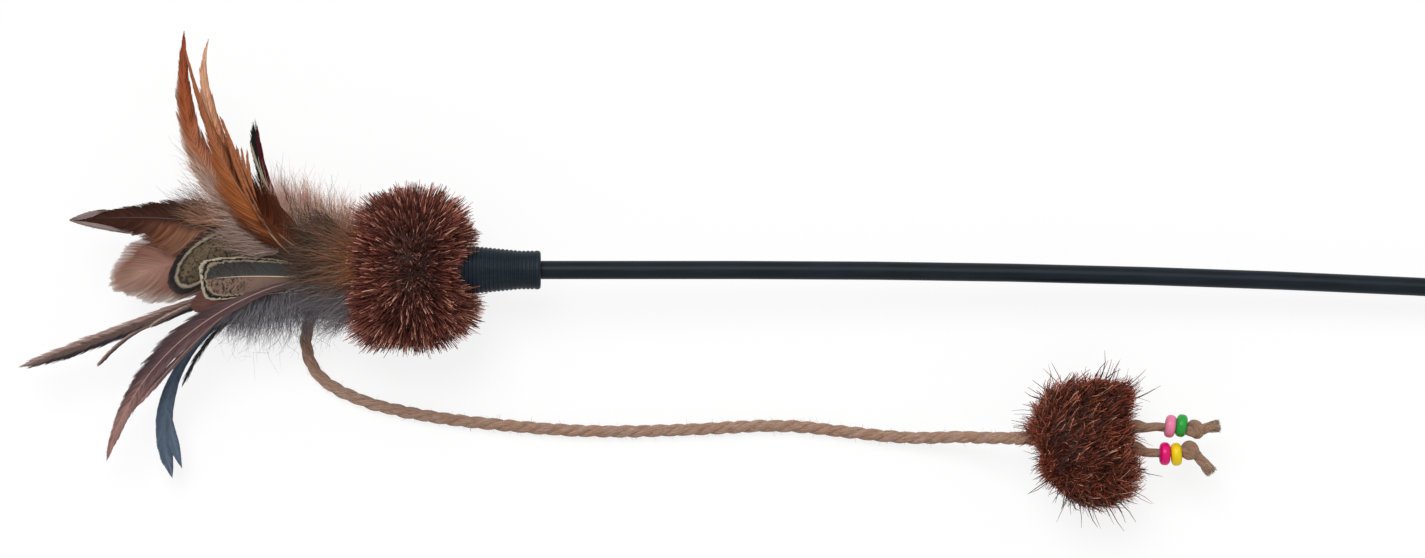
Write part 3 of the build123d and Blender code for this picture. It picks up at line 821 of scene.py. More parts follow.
def vane_bed(name, spine, width, outline, shaft_end, lead, camber, left_gain, left_tip):
    """A feather's shaft as a line that keeps, at each point, where the barbs on its left and right end."""
    bare = 0.05
    edge_steps = 120
    turn_start = 0.58
    turn_length = 0.26
    steps = len(spine) - 1
    length = sum((b - a).length for a, b in zip(spine, spine[1:]))
    half = width * mm / 2
    drawn = [(share * length / mm, part * half / mm, 0) for share, part in outline]
    edge = even_points(read_route([*drawn, (length / mm, 0, 0)]), edge_steps)
    ahead = [(spine[min(i + 1, steps)] - spine[max(i - 1, 0)]).normalized() for i in range(steps + 1)]
    places, lefts, rights, alongs, forwards = [], [], [], [], []
    for i in range(steps + 1):
        share = i / steps
        root_share = bare + (shaft_end - bare) * share
        root = at_share(spine, root_share)
        target = at_share(edge, lead + (1 - lead) * share)
        tip_share = min(target.x / length, 1.0)
        tip = at_share(spine, tip_share)
        forward = at_share(ahead, tip_share).normalized()
        out = Vector((0, 0, 1)).cross(forward).normalized()
        face = forward.cross(out)
        sag = face * camber * target.y
        places.append(root)
        gain = left_gain + (left_tip - left_gain) * clamped((tip_share - turn_start) / turn_length)
        lefts.append(tip + out * target.y * gain - sag - root)
        rights.append(tip - out * target.y - sag - root)
        alongs.append(share)
        forwards.append(at_share(ahead, root_share).normalized())
    return line_mesh(name, places, left=lefts, right=rights, along=alongs, forward=forwards)


def vane_tree(strands):
    """Sets barbs along both sides of a shaft. They clump, part, and end ragged."""
    tree, given = start_tree("feather_vane", {
        "Shaft": "Geometry", "Barbs": "Int", "Seed": "Int", "Clumps": "Float", "Ragged": "Float",
        "Parting": "Float", "Lift": "Float", "Steps": "Int", "Width": "Float", "Taper": "Float",
        "Flat": "Float", "Finish": "Material",
    })
    seed_step = 7.31
    fine_clumps = 2.3
    single_cut = 0.35
    clump_cut = 1.6
    single_drift = 0.12
    barb_bow = 0.22
    line = add(tree, "GeometryNodeMeshToCurve", given["Shaft"])
    points = add(tree, "GeometryNodeCurveToPoints", line, given["Barbs"])
    along = recall(tree, "along")
    forward = recall(tree, "forward", "FLOAT_VECTOR")
    both = tree.nodes.new("GeometryNodeJoinGeometry")
    for label, side, step in (("left", 1.0, 10), ("right", -1.0, 30)):
        way = recall(tree, label, "FLOAT_VECTOR")
        size = vectors(tree, "LENGTH", way)
        start = maths(tree, "MULTIPLY_ADD", given["Seed"], seed_step, float(step))
        place = maths(tree, "MULTIPLY_ADD", along, given["Clumps"], start)
        clump = add(tree, "ShaderNodeTexNoise", place, 1.0, 1.0, noise_dimensions="1D")
        clump = maths(tree, "SUBTRACT", clump, 0.5)
        place = maths(
            tree, "MULTIPLY_ADD", along, maths(tree, "MULTIPLY", given["Clumps"], fine_clumps), start)
        second = add(tree, "ShaderNodeTexNoise", place, 1.0, 0.0, noise_dimensions="1D")
        second = maths(tree, "SUBTRACT", second, 0.5)
        single = chance(tree, -1.0, 1.0, given["Seed"], step)
        cut = maths(tree, "MULTIPLY_ADD", single, single_cut, maths(tree, "MULTIPLY", clump, clump_cut))
        cut = maths(tree, "MULTIPLY_ADD", cut, given["Ragged"], 1.0)
        drift = maths(tree, "MULTIPLY_ADD", single, single_drift, second)
        drift = maths(tree, "MULTIPLY", drift, given["Parting"])
        rise = maths(tree, "MULTIPLY", chance(tree, -1.0, 1.0, given["Seed"], step + 1), given["Lift"])
        moved = vectors(tree, "SCALE", way, cut)
        drifted = vectors(tree, "SCALE", forward, maths(tree, "MULTIPLY", size, drift))
        moved = vectors(tree, "ADD", moved, drifted)
        lifted = add(tree, "ShaderNodeCombineXYZ", 0.0, 0.0, maths(tree, "MULTIPLY", size, rise))
        moved = vectors(tree, "ADD", moved, lifted)
        run = vectors(tree, "SCALE", forward, vectors(tree, "DOT_PRODUCT", moved, forward))
        lean = vectors(tree, "SUBTRACT", moved, vectors(tree, "SCALE", run, 2.0))
        lean = vectors(tree, "SCALE", lean, barb_bow)
        row = note(tree, points, "way", moved, "FLOAT_VECTOR")
        row = note(tree, row, "lean", lean, "FLOAT_VECTOR")
        row = note(tree, row, "root", add(tree, "GeometryNodeInputPosition"), "FLOAT_VECTOR")
        row = note(tree, row, "shade", chance(tree, 0.0, 1.0, given["Seed"], step + 3))
        row = note(tree, row, "u_place", along)
        row = note(tree, row, "v_start", 0.5)
        row = note(tree, row, "v_gain", 0.5 * side)
        tree.links.new(row, both.inputs[0])
    sizes = [given[label] for label in ("Steps", "Width", "Taper", "Flat")]
    shape = add(tree, "GeometryNodeGroup", both.outputs[0], *sizes, node_tree=strands)
    for label in ("left", "right", "along", "forward"):
        shape = add(tree, "GeometryNodeRemoveAttribute", shape, label)
    end_tree(tree, shape, given["Finish"])
    return tree


def shaft_tree():
    """A round shaft that tapers from the quill to a hair."""
    tree, given = start_tree("feather_shaft", {
        "Shaft": "Geometry", "Radius": "Float", "Tip Radius": "Float", "Finish": "Material",
    })
    line = add(tree, "GeometryNodeMeshToCurve", given["Shaft"])
    share = add(tree, "GeometryNodeSplineParameter")
    line = note(tree, line, "share", share)
    thin = add(tree, "ShaderNodeMapRange", share, 0.0, 1.0, given["Radius"], given["Tip Radius"])
    section = add(tree, "GeometryNodeCurvePrimitiveCircle", 6, 1.0)
    tube = add(tree, "GeometryNodeCurveToMesh", line, section, thin, True)
    spot = add(tree, "ShaderNodeCombineXYZ", recall(tree, "share"), 0.5, 0.0)
    tube = note(tree, tube, "OFBake", spot, "FLOAT2", "CORNER")
    tube = add(tree, "GeometryNodeRemoveAttribute", tube, "share")
    end_tree(tree, tube, given["Finish"])
    return tree


def smooth_step(tree, value, low, high):
    """0 below low, 1 above high, and a smooth rise between them."""
    return add(tree, "ShaderNodeMapRange", value, low, high, 0.0, 1.0, interpolation_type="SMOOTHSTEP")


def barb_streaks(group, place, across):
    """A value that changes from barb to barb."""
    barb_fineness = 170.0
    spot = add(
        group, "ShaderNodeCombineXYZ", maths(group, "MULTIPLY", place["X"], barb_fineness), across, 3.0)
    return add(group, "ShaderNodeTexNoise", spot, 1.0, 2.0, 0.7)


def feather_group():
    """A plain feather's colour: from quill to tip, from the shaft to both edges, and in streaks by barb."""
    colours = dict.fromkeys(("Base", "Vane", "Tip", "Left Edge", "Right Edge"), "Color")
    places = dict.fromkeys(("Base End", "Tip Start", "Edge Start", "Streaks"), "Float")
    group, given = start_group(
        "feather_colour", {**colours, **places}, {"Colour": "Color", "Barbs": "Float"})
    soft_fineness = 60.0
    drift = 0.3
    base_low = 0.45
    base_high = 1.35
    edge_wobble = 0.5
    edge_width = 0.3
    tip_length = 0.25
    place = baked_place(group)
    across = maths(group, "MULTIPLY_ADD", place["Y"], 2.0, -1.0)
    spot = add(
        group, "ShaderNodeCombineXYZ", maths(group, "MULTIPLY", place["X"], soft_fineness), across, 0.0)
    soft = add(group, "ShaderNodeTexNoise", spot, 0.6, 2.0)
    soft = maths(group, "SUBTRACT", soft, 0.5)
    shifted = maths(group, "MULTIPLY_ADD", soft, drift, place["X"])
    low = maths(group, "MULTIPLY", given["Base End"], base_low)
    high = maths(group, "MULTIPLY", given["Base End"], base_high)
    grown = smooth_step(group, shifted, low, high)
    colour = given["Vane"]
    wobble = maths(group, "MULTIPLY", soft, edge_wobble)
    for label, sign in (("Left Edge", 1.0), ("Right Edge", -1.0)):
        away = maths(group, "ADD", maths(group, "MULTIPLY", across, sign), wobble)
        full = maths(group, "ADD", given["Edge Start"], edge_width)
        share = smooth_step(group, away, given["Edge Start"], full)
        colour = blend_colours(group, share, colour, given[label])
    colour = blend_colours(group, grown, given["Base"], colour)
    late = maths(group, "ADD", given["Tip Start"], tip_length)
    share = smooth_step(group, shifted, given["Tip Start"], late)
    colour = blend_colours(group, share, colour, given["Tip"])
    barbs = barb_streaks(group, place, across)
    darker = maths(group, "MULTIPLY", maths(group, "SUBTRACT", barbs, 0.5), given["Streaks"])
    darker = maths(group, "MULTIPLY_ADD", darker, 2.0, 1.0)
    colour = scale_colour(group, colour, darker)
    add(group, "NodeGroupOutput", colour, barbs)
    return group


feather_colour = feather_group()


def vane_finish(name, group, **places):
    """A feather's finish: soft, with a dull silky shine along the barbs. A group paints it."""
    finish, tree, shader = new_finish(name)
    paint = add(tree, "ShaderNodeGroup", node_tree=group).node
    for label, value in places.items():
        socket = paint.inputs[label.replace("_", " ").title()]
        socket.default_value = (*value, 1) if isinstance(value, tuple) else value
    feed(tree, shader, "Base Color", paint.outputs["Colour"])
    feed(tree, shader, "Roughness", maths(tree, "MULTIPLY_ADD", paint.outputs["Barbs"], -0.2, 0.62))
    feed(tree, shader, "Specular IOR Level", 0.1)
    return finish


def feather_finish(name, base_end=0.2, tip_start=0.7, edge_start=0.55, streaks=0.6, **colours):
    """A plain feather's finish. Its colours are those of the base, vane, tip, left edge and right edge."""
    return vane_finish(
        name, feather_colour, base_end=base_end, tip_start=tip_start, edge_start=edge_start,
        streaks=streaks, **colours)


def shaft_finish(name, quill, tip):
    """A feather's shaft: pale horn at the quill, taking the vane's colour towards the tip."""
    grain_fineness = 900.0
    finish, tree, shader = new_finish(name)
    place = baked_place(tree)
    grain = add(tree, "ShaderNodeTexNoise", object_place(tree), grain_fineness, 2.0)
    share = maths(tree, "MULTIPLY_ADD", maths(tree, "SUBTRACT", grain, 0.5), 0.3, place["X"])
    feed(tree, shader, "Base Color", ramp(tree, share, (0.1, quill), (0.8, tip)))
    feed(tree, shader, "Roughness", maths(tree, "MULTIPLY_ADD", grain, 0.2, 0.3))
    return finish


feather_vane = vane_tree(drawn_strands)
feather_shaft = shaft_tree()


def make_vane(
    name, line, width, outline, finish, shaft, seed, shaft_end=0.96, lead=0.12, camber=0.08, left_gain=1.0,
    left_tip=1.0, barbs=420, clumps=14.0, ragged=0.12, parting=0.22, barb_width=0.3, shaft_radius=0.32,
):
    """A vane of barbs and its shaft. The line's places are in millimetres past the mouth of the bundle."""
    spine = spine_points(*[wand_place(plume_root + place[0], place[1], place[2]) for place in line])
    bed = vane_bed(name, spine, width, outline, shaft_end, lead, camber, left_gain, left_tip)
    vane = make_piece(name, bed, feather_vane, {
        "Barbs": barbs, "Seed": seed, "Clumps": clumps, "Ragged": ragged, "Parting": parting, "Lift": 0.03,
        "Steps": 6, "Width": barb_width * mm, "Taper": 0.75, "Flat": 0.45, "Finish": finish,
    })
    count = max(2, round((len(spine) - 1) * shaft_end))
    quill = make_piece(name + "_shaft", line_mesh(name, spine[: count + 1]), feather_shaft, {
        "Radius": shaft_radius * mm, "Tip Radius": 0.05 * mm, "Finish": shaft,
    })
    return [vane, quill]


def plume_piece(node, parts):
    """Joins a feather's parts into the piece that stands for its node."""
    piece = join_pieces(node + "_vane", parts)
    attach(piece, "wand")
    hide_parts(node)


dark_shaft = shaft_finish("dark_shaft", quill=(0.2, 0.12, 0.08), tip=(0.05, 0.03, 0.026))

# The rust hackles: three long neck feathers that stand up out of the bundle and bend back, rust orange.
# The front one is broad low down, golden on its left and dark on its right, and has loose points beside it.
hackle = ((0, 0.1), (0.16, 0.3), (0.36, 0.85), (0.55, 1), (0.72, 0.66), (0.88, 0.34), (1, 0.05))
lance = (
    (0, 0.1), (0.18, 0.25), (0.3, 0.8), (0.4, 1), (0.5, 0.9), (0.6, 0.46), (0.7, 0.2), (0.82, 0.1),
    (1, 0.03))
slender = ((0, 0.1), (0.3, 0.25), (0.5, 0.7), (0.66, 1), (0.8, 0.66), (0.9, 0.34), (1, 0.05))
strap = ((0, 0.2), (0.2, 0.5), (0.5, 0.9), (0.8, 1), (0.94, 0.8), (1, 0.25))
rust_shaft = shaft_finish("rust_shaft", quill=(0.34, 0.2, 0.12), tip=(0.3, 0.1, 0.045))
rust_left = feather_finish(
    "rust_left", base=(0.62, 0.38, 0.26), vane=(0.36, 0.09, 0.027), tip=(0.32, 0.07, 0.034),
    left_edge=(0.46, 0.2, 0.11), right_edge=(0.27, 0.058, 0.02), base_end=0.6, tip_start=0.74,
    edge_start=0.5, streaks=1.1)
rust_front = feather_finish(
    "rust_front", base=(0.12, 0.035, 0.014), vane=(0.25, 0.06, 0.014), tip=(0.41, 0.148, 0.065),
    left_edge=(0.43, 0.135, 0.042), right_edge=(0.05, 0.0075, 0.0018), base_end=0.3, tip_start=0.44,
    edge_start=-0.05, streaks=1.1)
rust_right = feather_finish(
    "rust_right", base=(0.34, 0.16, 0.09), vane=(0.68, 0.3, 0.16), tip=(0.76, 0.42, 0.26),
    left_edge=(0.84, 0.5, 0.34), right_edge=(0.46, 0.18, 0.085), base_end=0.35, tip_start=0.6,
    edge_start=0.4, streaks=1.0)
plume_piece("rust_hackle_left", make_vane(
    "rust_hackle_left", ((0, 0.65, 1.13), (-44.5, 17.8, 2.6), (-43.3, 37.3, 4.2), (-42.8, 61.8, 5.5)),
    width=7.0, outline=hackle, finish=rust_left, shaft=rust_shaft, shaft_end=0.95, lead=0.2, seed=3,
    ragged=0.24, parting=0.3, left_tip=1.2))
rust_tips = (
    (-31.6, 35.0, 9.5), (-30.4, 33.6, 9.2), (-29.2, 32.3, 9.0), (-27.9, 31.8, 8.8), (-26.4, 31.0, 8.5),
    (-33.5, 40.0, 10.0),
)
rust_points = [
    part for k, tip in enumerate(rust_tips)
    for part in make_vane(
        f"rust_point_{k}", ((-14, 3.5, 4.5), (-22, 7.5, 6.5), (-28.5 + k * 0.5, 22, 8.5), tip), width=0.9,
        outline=strap, finish=rust_front, shaft=rust_shaft, lead=0.3, seed=90 + k, barbs=80, ragged=0.5,
        shaft_radius=0.12)
]
plume_piece("rust_hackle_front", rust_points + make_vane(
    "rust_hackle_front", ((0, 1.3, 2.25), (-28.4, 4.2, 6), (-38.6, 41.3, 10), (-42.3, 57.2, 13)),
    width=11.5, outline=lance, finish=rust_front, shaft=rust_shaft, shaft_end=0.95, lead=0.24, seed=5,
    ragged=0.26, parting=0.36))
plume_piece("rust_hackle_right", make_vane(
    "rust_hackle_right", ((0, 2.6, 2.25), (-29.1, 6.6, 3.6), (-42.0, 47.0, 6.8), (-36.3, 59.4, 9.5)),
    width=4.3, outline=slender, finish=rust_right, shaft=rust_shaft, shaft_end=0.95, lead=0.22, seed=8,
    ragged=0.26, parting=0.3))

# The bronze hackle: a short narrow feather, bottle green on one side of the shaft and burgundy on the other.
# Its shaft is pale and thick, and a rim of pale barbs lies along its outer part.
bronze = feather_finish(
    "bronze_green", base=(0.1, 0.06, 0.05), vane=(0.018, 0.016, 0.012), tip=(0.03, 0.018, 0.02),
    left_edge=(0.016, 0.018, 0.012), right_edge=(0.095, 0.01, 0.018), base_end=0.3, tip_start=0.9,
    edge_start=0.05)
pale_line = shaft_finish("pale_line", quill=(0.46, 0.4, 0.28), tip=(0.55, 0.5, 0.36))
narrow_point = ((0, 0.2), (0.3, 0.6), (0.6, 1), (0.8, 1), (0.92, 0.85), (1, 0.3))
bronze_rim = feather_finish(
    "bronze_rim", base=(0.2, 0.18, 0.12), vane=(0.42, 0.38, 0.27), tip=(0.26, 0.23, 0.16),
    left_edge=(0.3, 0.27, 0.19), right_edge=(0.46, 0.42, 0.31), streaks=1.2)
pale_rim = make_vane(
    "bronze_pale_rim", ((-21.4, 20.5, 1.6), (-23.2, 25.5, 1.7), (-25.2, 30, 1.8), (-25.8, 33.6, 1.9)),
    width=0.62, outline=strap, finish=bronze_rim, shaft=pale_line, lead=0.2, seed=101, barbs=70,
    ragged=0.4, shaft_radius=0.1)
plume_piece("bronze_hackle", pale_rim + make_vane(
    "bronze_hackle", ((0, 3.25, 1.13), (-15.6, 1.2, 0.8), (-25.4, 25.4, 1.0), (-24.5, 38.6, 1.5)),
    width=2.7, outline=narrow_point, finish=bronze, shaft=pale_line, shaft_end=0.84, lead=0.14, seed=13,
    barbs=260, ragged=0.25, shaft_radius=0.55))

# The brown feathers: a pointed one above, a long slim one below, and a long curved one in front. They are
# wing feathers, dark on one side of the shaft and paler on the other. The pointed one has ashy edges at its
# tip, and strands of barbs hang loose beside the other two.
spear = (
    (0, 0.08), (0.15, 0.25), (0.35, 0.75), (0.52, 1), (0.66, 0.85), (0.78, 0.55), (0.9, 0.28), (1, 0.04))
sickle = (
    (0, 0.06), (0.2, 0.16), (0.33, 0.3), (0.42, 0.62), (0.52, 0.98), (0.67, 0.86), (0.77, 0.62),
    (0.89, 0.42), (1, 0.08))
slip = ((0, 0.2), (0.3, 0.85), (0.6, 1), (0.85, 0.6), (1, 0.1))
ash_shaft = shaft_finish("ash_shaft", quill=(0.2, 0.12, 0.08), tip=(0.42, 0.32, 0.29))
brown_dark = feather_finish(
    "brown_dark", base=(0.45, 0.28, 0.2), vane=(0.055, 0.02, 0.012), tip=(0.055, 0.019, 0.012),
    left_edge=(0.28, 0.11, 0.058), right_edge=(0.046, 0.016, 0.01), base_end=0.5, tip_start=0.56,
    edge_start=0.0, streaks=0.9)
umber_slim = feather_finish(
    "umber_slim", base=(0.12, 0.075, 0.065), vane=(0.155, 0.098, 0.084), tip=(0.31, 0.215, 0.19),
    left_edge=(0.045, 0.036, 0.042), right_edge=(0.47, 0.32, 0.28), base_end=0.3, tip_start=0.88,
    edge_start=0.2, streaks=0.8)
umber_curved = feather_finish(
    "umber_curved", base=(0.17, 0.1, 0.1), vane=(0.135, 0.074, 0.077), tip=(0.42, 0.235, 0.205),
    left_edge=(0.23, 0.135, 0.135), right_edge=(0.115, 0.07, 0.075), base_end=0.3, tip_start=0.66,
    edge_start=0.25, streaks=0.8)
ash_edge = feather_finish(
    "ash_edge", base=(0.1, 0.06, 0.05), vane=(0.3, 0.225, 0.22), tip=(0.24, 0.15, 0.14),
    left_edge=(0.4, 0.32, 0.32), right_edge=(0.34, 0.26, 0.25), streaks=0.5)
pointed_edges = make_vane(
    "pointed_upper_edge",
    ((-62.5, 15.6, -0.8), (-66, 14.9, -0.7), (-69.5, 13.8, -0.7), (-72.8, 12.9, -0.8)), width=1.5,
    outline=slip, finish=ash_edge, shaft=dark_shaft, lead=0.2, seed=99, barbs=90, ragged=0.3,
    shaft_radius=0.1)
pointed_edges += make_vane(
    "pointed_lower_edge", ((-56, 9.3, -0.9), (-61.5, 10.7, -0.8), (-67, 11.6, -0.8), (-72.6, 12.8, -0.8)),
    width=1.3, outline=slip, finish=ash_edge, shaft=ash_shaft, lead=0.2, seed=100, barbs=120, ragged=0.4,
    shaft_radius=0.1)
plume_piece("brown_pointed_feather", pointed_edges + make_vane(
    "brown_pointed_feather", ((0, 2.6, 0), (-24.5, 6.0, -0.8), (-28.0, 16.4, -1.1), (-72.1, 12.9, -1.0)),
    width=11.2, outline=spear, finish=brown_dark, shaft=dark_shaft, lead=0.2, seed=21, ragged=0.16,
    parting=0.2, left_gain=2.0, left_tip=1.3, barbs=620, barb_width=0.36, shaft_radius=0.24))
slim_strands = make_vane(
    "slim_lower_strand",
    ((-49, -13.4, -3.2), (-55.5, -15.4, -3.6), (-60, -18.5, -4.2), (-65.8, -25.2, -5)), width=1.1,
    outline=strap, finish=umber_slim, shaft=dark_shaft, lead=0.2, seed=95, barbs=90, ragged=0.4,
    shaft_radius=0.2)
slim_strands += make_vane(
    "slim_upper_strand", ((-34, -6, -0.9), (-40, -8.6, -1.2), (-46, -11.4, -2), (-52, -14.8, -2.6)),
    width=1.5, outline=strap, finish=umber_slim, shaft=dark_shaft, lead=0.2, seed=96, barbs=90,
    ragged=0.4, shaft_radius=0.2)
plume_piece("umber_slim_feather", slim_strands + make_vane(
    "umber_slim_feather", ((0, -1.3, 0), (-21.2, 3.0, -3.7), (-60.3, -18.4, -5.6), (-85.4, -25.0, -9)),
    width=3.7, outline=strap, finish=umber_slim, shaft=dark_shaft, lead=0.16, seed=27, ragged=0.3,
    parting=0.45, clumps=24.0, camber=0.0))
curved_strands = make_vane(
    "curved_side_strand",
    ((-33, -12.2, 2.4), (-41.5, -19.2, 0.9), (-49, -28.4, -1.2), (-56.6, -36.2, -4.0)), width=1.6,
    outline=strap, finish=umber_curved, shaft=ash_shaft, lead=0.2, seed=97, barbs=140, ragged=0.3,
    shaft_radius=0.16)
plume_piece("umber_curved_feather", curved_strands + make_vane(
    "umber_curved_feather",
    ((0, -1.3, 2.25), (-21.4, -0.4, 4.2), (-54.7, -16.6, 2.5), (-63.3, -49.5, -8)), width=7.2,
    outline=sickle, finish=umber_curved, shaft=ash_shaft, lead=0.22, seed=29, ragged=0.2, parting=0.3,
    left_gain=0.62, left_tip=1.0, shaft_radius=0.24))

# The tan feather: a broad body feather, pinkish tan and soft, and paler towards its end. The end is blunt
# and slants back from its corner.
blunt = (
    (0, 0.08), (0.15, 0.25), (0.4, 0.7), (0.65, 0.97), (0.83, 0.98), (0.92, 0.8), (0.975, 0.5), (1, 0.24))
slanted = (
    (0, 0.08), (0.15, 0.28), (0.4, 0.9), (0.55, 1.16), (0.7, 1.2), (0.82, 1.08), (0.91, 0.74),
    (0.965, 0.42), (1, 0.16))
tan_pink = feather_finish(
    "tan_pink", base=(0.14, 0.06, 0.036), vane=(0.37, 0.185, 0.138), tip=(0.48, 0.29, 0.23),
    left_edge=(0.5, 0.36, 0.3), right_edge=(0.33, 0.15, 0.1), base_end=0.46, tip_start=0.8,
    streaks=0.3)
plume_piece("tan_broad_feather", make_vane(
    "tan_broad_feather", ((0, 1.3, 0), (-19.5, 2.2, -2.6), (-48.0, 5.0, -3.2), (-62.1, -4.2, -3.6)),
    width=17.4, outline=slanted, finish=tan_pink, shaft=rust_shaft, shaft_end=0.86, lead=0.18, seed=33,
    ragged=0.07, parting=0.1, left_gain=0.76, left_tip=1.02, barbs=560, shaft_radius=0.2))


# The barred feathers: two body feathers of a game bird. The back one is olive with fine specks, inside a
# cream line and a dark border. The front one is dark on one side of its cream shaft and peach on the other,
# with black mottling and a cream edge.
def barred_group():
    """A barred feather's colour: two sides of the shaft, specks towards the tip, and rings at the edge."""
    colours = dict.fromkeys(("Base", "Upper", "Lower", "Speck", "Inner", "Line", "Border"), "Color")
    labels = ("Base End", "Speck Start", "Speck Size", "Inner Start", "Line Start", "Line End", "Wander")
    places = dict.fromkeys(labels, "Float")
    group, given = start_group(
        "barred_colour", {**colours, **places}, {"Colour": "Color", "Barbs": "Float"})
    barb_sweep = 0.16
    speck_rise = 0.2
    ring_blend = 0.05
    base_low = 0.55
    streaks = 0.7
    place = baked_place(group)
    across = maths(group, "MULTIPLY_ADD", place["Y"], 2.0, -1.0)
    long = maths(group, "MULTIPLY_ADD", maths(group, "ABSOLUTE", across), barb_sweep, place["X"])
    stretched = vectors(
        group, "MULTIPLY", add(group, "ShaderNodeCombineXYZ", long, across, 0.0), (9.0, 1.2, 0.0))
    wander = add(group, "ShaderNodeTexNoise", stretched, 3.6, 3.0, 0.6)
    wander = maths(group, "MULTIPLY", maths(group, "SUBTRACT", wander, 0.5), given["Wander"])
    share = add(group, "ShaderNodeMapRange", across, -0.06, 0.06, 0.0, 1.0)
    colour = blend_colours(group, share, given["Upper"], given["Lower"])
    specks = add(group, "ShaderNodeTexNoise", stretched, given["Speck Size"], 2.0, 0.6, None, 1.2)
    specks = add(group, "ShaderNodeMapRange", specks, 0.5, 0.58, 0.0, 1.0)
    late = maths(group, "ADD", given["Speck Start"], speck_rise)
    share = add(group, "ShaderNodeMapRange", long, given["Speck Start"], late, 0.0, 1.0)
    share = maths(group, "MULTIPLY", specks, share)
    colour = blend_colours(group, share, colour, given["Speck"])
    away = maths(group, "ADD", maths(group, "ABSOLUTE", across), wander)
    for label, start in (("Inner", "Inner Start"), ("Line", "Line Start"), ("Border", "Line End")):
        full = maths(group, "ADD", given[start], ring_blend)
        share = add(group, "ShaderNodeMapRange", away, given[start], full, 0.0, 1.0)
        colour = blend_colours(group, share, colour, given[label])
    low = maths(group, "MULTIPLY", given["Base End"], base_low)
    share = smooth_step(group, long, low, given["Base End"])
    colour = blend_colours(group, share, given["Base"], colour)
    barbs = barb_streaks(group, place, across)
    darker = maths(group, "MULTIPLY_ADD", maths(group, "SUBTRACT", barbs, 0.5), streaks, 1.0)
    colour = scale_colour(group, colour, darker)
    add(group, "NodeGroupOutput", colour, barbs)
    return group


barred_colour = barred_group()
round_end = ((0, 0.08), (0.15, 0.22), (0.4, 0.7), (0.65, 1), (0.85, 0.95), (0.95, 0.7), (1, 0.3))
square_end = ((0, 0.1), (0.2, 0.4), (0.45, 0.85), (0.7, 1), (0.93, 1), (0.99, 0.86), (1, 0.62))
cream_shaft = shaft_finish("cream_shaft", quill=(0.5, 0.38, 0.26), tip=(0.68, 0.52, 0.36))
barred_back = vane_finish(
    "barred_back", barred_colour, base=(0.13, 0.06, 0.04), upper=(0.2, 0.145, 0.09),
    lower=(0.16, 0.12, 0.075), speck=(0.05, 0.042, 0.032), inner=(0.045, 0.038, 0.03),
    line=(0.5, 0.4, 0.29), border=(0.03, 0.028, 0.032), base_end=0.5, speck_start=0.3, speck_size=5.0,
    inner_start=0.65, line_start=0.72, line_end=0.81, wander=0.14)
barred_front = vane_finish(
    "barred_front", barred_colour, base=(0.2, 0.145, 0.115), upper=(0.066, 0.066, 0.064),
    lower=(0.3, 0.19, 0.145), speck=(0.05, 0.04, 0.032), inner=(0.5, 0.4, 0.28),
    line=(0.024, 0.022, 0.02), border=(0.76, 0.66, 0.5), base_end=0.45, speck_start=0.66, speck_size=4.2,
    inner_start=0.66, line_start=0.75, line_end=0.88, wander=0.36)
plume_piece("barred_feather_back", make_vane(
    "barred_feather_back", ((0, 0, 0), (-21.4, -5.1, 0.5), (-24.6, 23.5, 0.0), (-45.8, -5.7, -0.9)),
    width=11.0, outline=round_end, finish=barred_back, shaft=dark_shaft, shaft_end=0.84, lead=0.18,
    seed=37, ragged=0.03, parting=0.05, barbs=460, shaft_radius=0.16))
plume_piece("barred_feather_front", make_vane(
    "barred_feather_front", ((0, -0.65, 1.13), (-8.4, -3.5, 1.4), (-22.2, -0.2, 1.2), (-38.7, -2.6, 1.0)),
    width=10.2, outline=square_end, finish=barred_front, shaft=cream_shaft, shaft_end=0.92, lead=0.16,
    seed=39, ragged=0.04, parting=0.06, barbs=460, left_tip=1.12))

# The slate strap, the black wisp and the brick patch: three small feathers at the underside of the plume.
# The strap is trimmed flat and its end has split in two. The wisp is worn to a thin core and a few hairs.
slate = feather_finish(
    "slate_blue", base=(0.1, 0.12, 0.16), vane=(0.118, 0.16, 0.222), tip=(0.2, 0.235, 0.3),
    left_edge=(0.122, 0.134, 0.2), right_edge=(0.13, 0.18, 0.235), tip_start=0.9, streaks=0.3)
black_wisp = feather_finish(
    "wisp_black", base=(0.04, 0.038, 0.045), vane=(0.022, 0.022, 0.028), tip=(0.03, 0.03, 0.036),
    left_edge=(0.06, 0.06, 0.07), right_edge=(0.03, 0.03, 0.04))
brick = feather_finish(
    "brick_brown", base=(0.18, 0.09, 0.07), vane=(0.185, 0.077, 0.065), tip=(0.19, 0.085, 0.072),
    left_edge=(0.16, 0.066, 0.057), right_edge=(0.24, 0.115, 0.09), streaks=0.3)
slate_shaft = shaft_finish("slate_shaft", quill=(0.1, 0.13, 0.18), tip=(0.1, 0.14, 0.19))
cut_strap = (
    (0, 0.12), (0.3, 0.24), (0.55, 0.36), (0.66, 0.56), (0.76, 0.92), (0.86, 1), (0.93, 0.84), (0.97, 0.4),
    (1, 0.04))
prong = ((0, 0.3), (0.3, 0.8), (0.58, 1), (0.8, 0.55), (1, 0.03))
split_end = make_vane(
    "slate_split_end",
    ((-47.0, -37.5, -10.6), (-47.0, -42.5, -11.4), (-45.9, -46.5, -12.2), (-43.9, -51.8, -13)), width=3.0,
    outline=prong, finish=slate, shaft=slate_shaft, lead=0.2, seed=98, barbs=150, ragged=0.06,
    shaft_radius=0.12)
plume_piece("slate_strap_feather", split_end + make_vane(
    "slate_strap_feather", ((0, -1.95, -1.13), (-13.5, 1.9, -5), (-59.1, -16.7, -9), (-46.4, -54.4, -14)),
    width=4.5, outline=cut_strap, finish=slate, shaft=slate_shaft, seed=41, ragged=0.04, lead=0.16,
    shaft_radius=0.16))
black_shaft = shaft_finish("black_shaft", quill=(0.03, 0.03, 0.036), tip=(0.02, 0.02, 0.026))
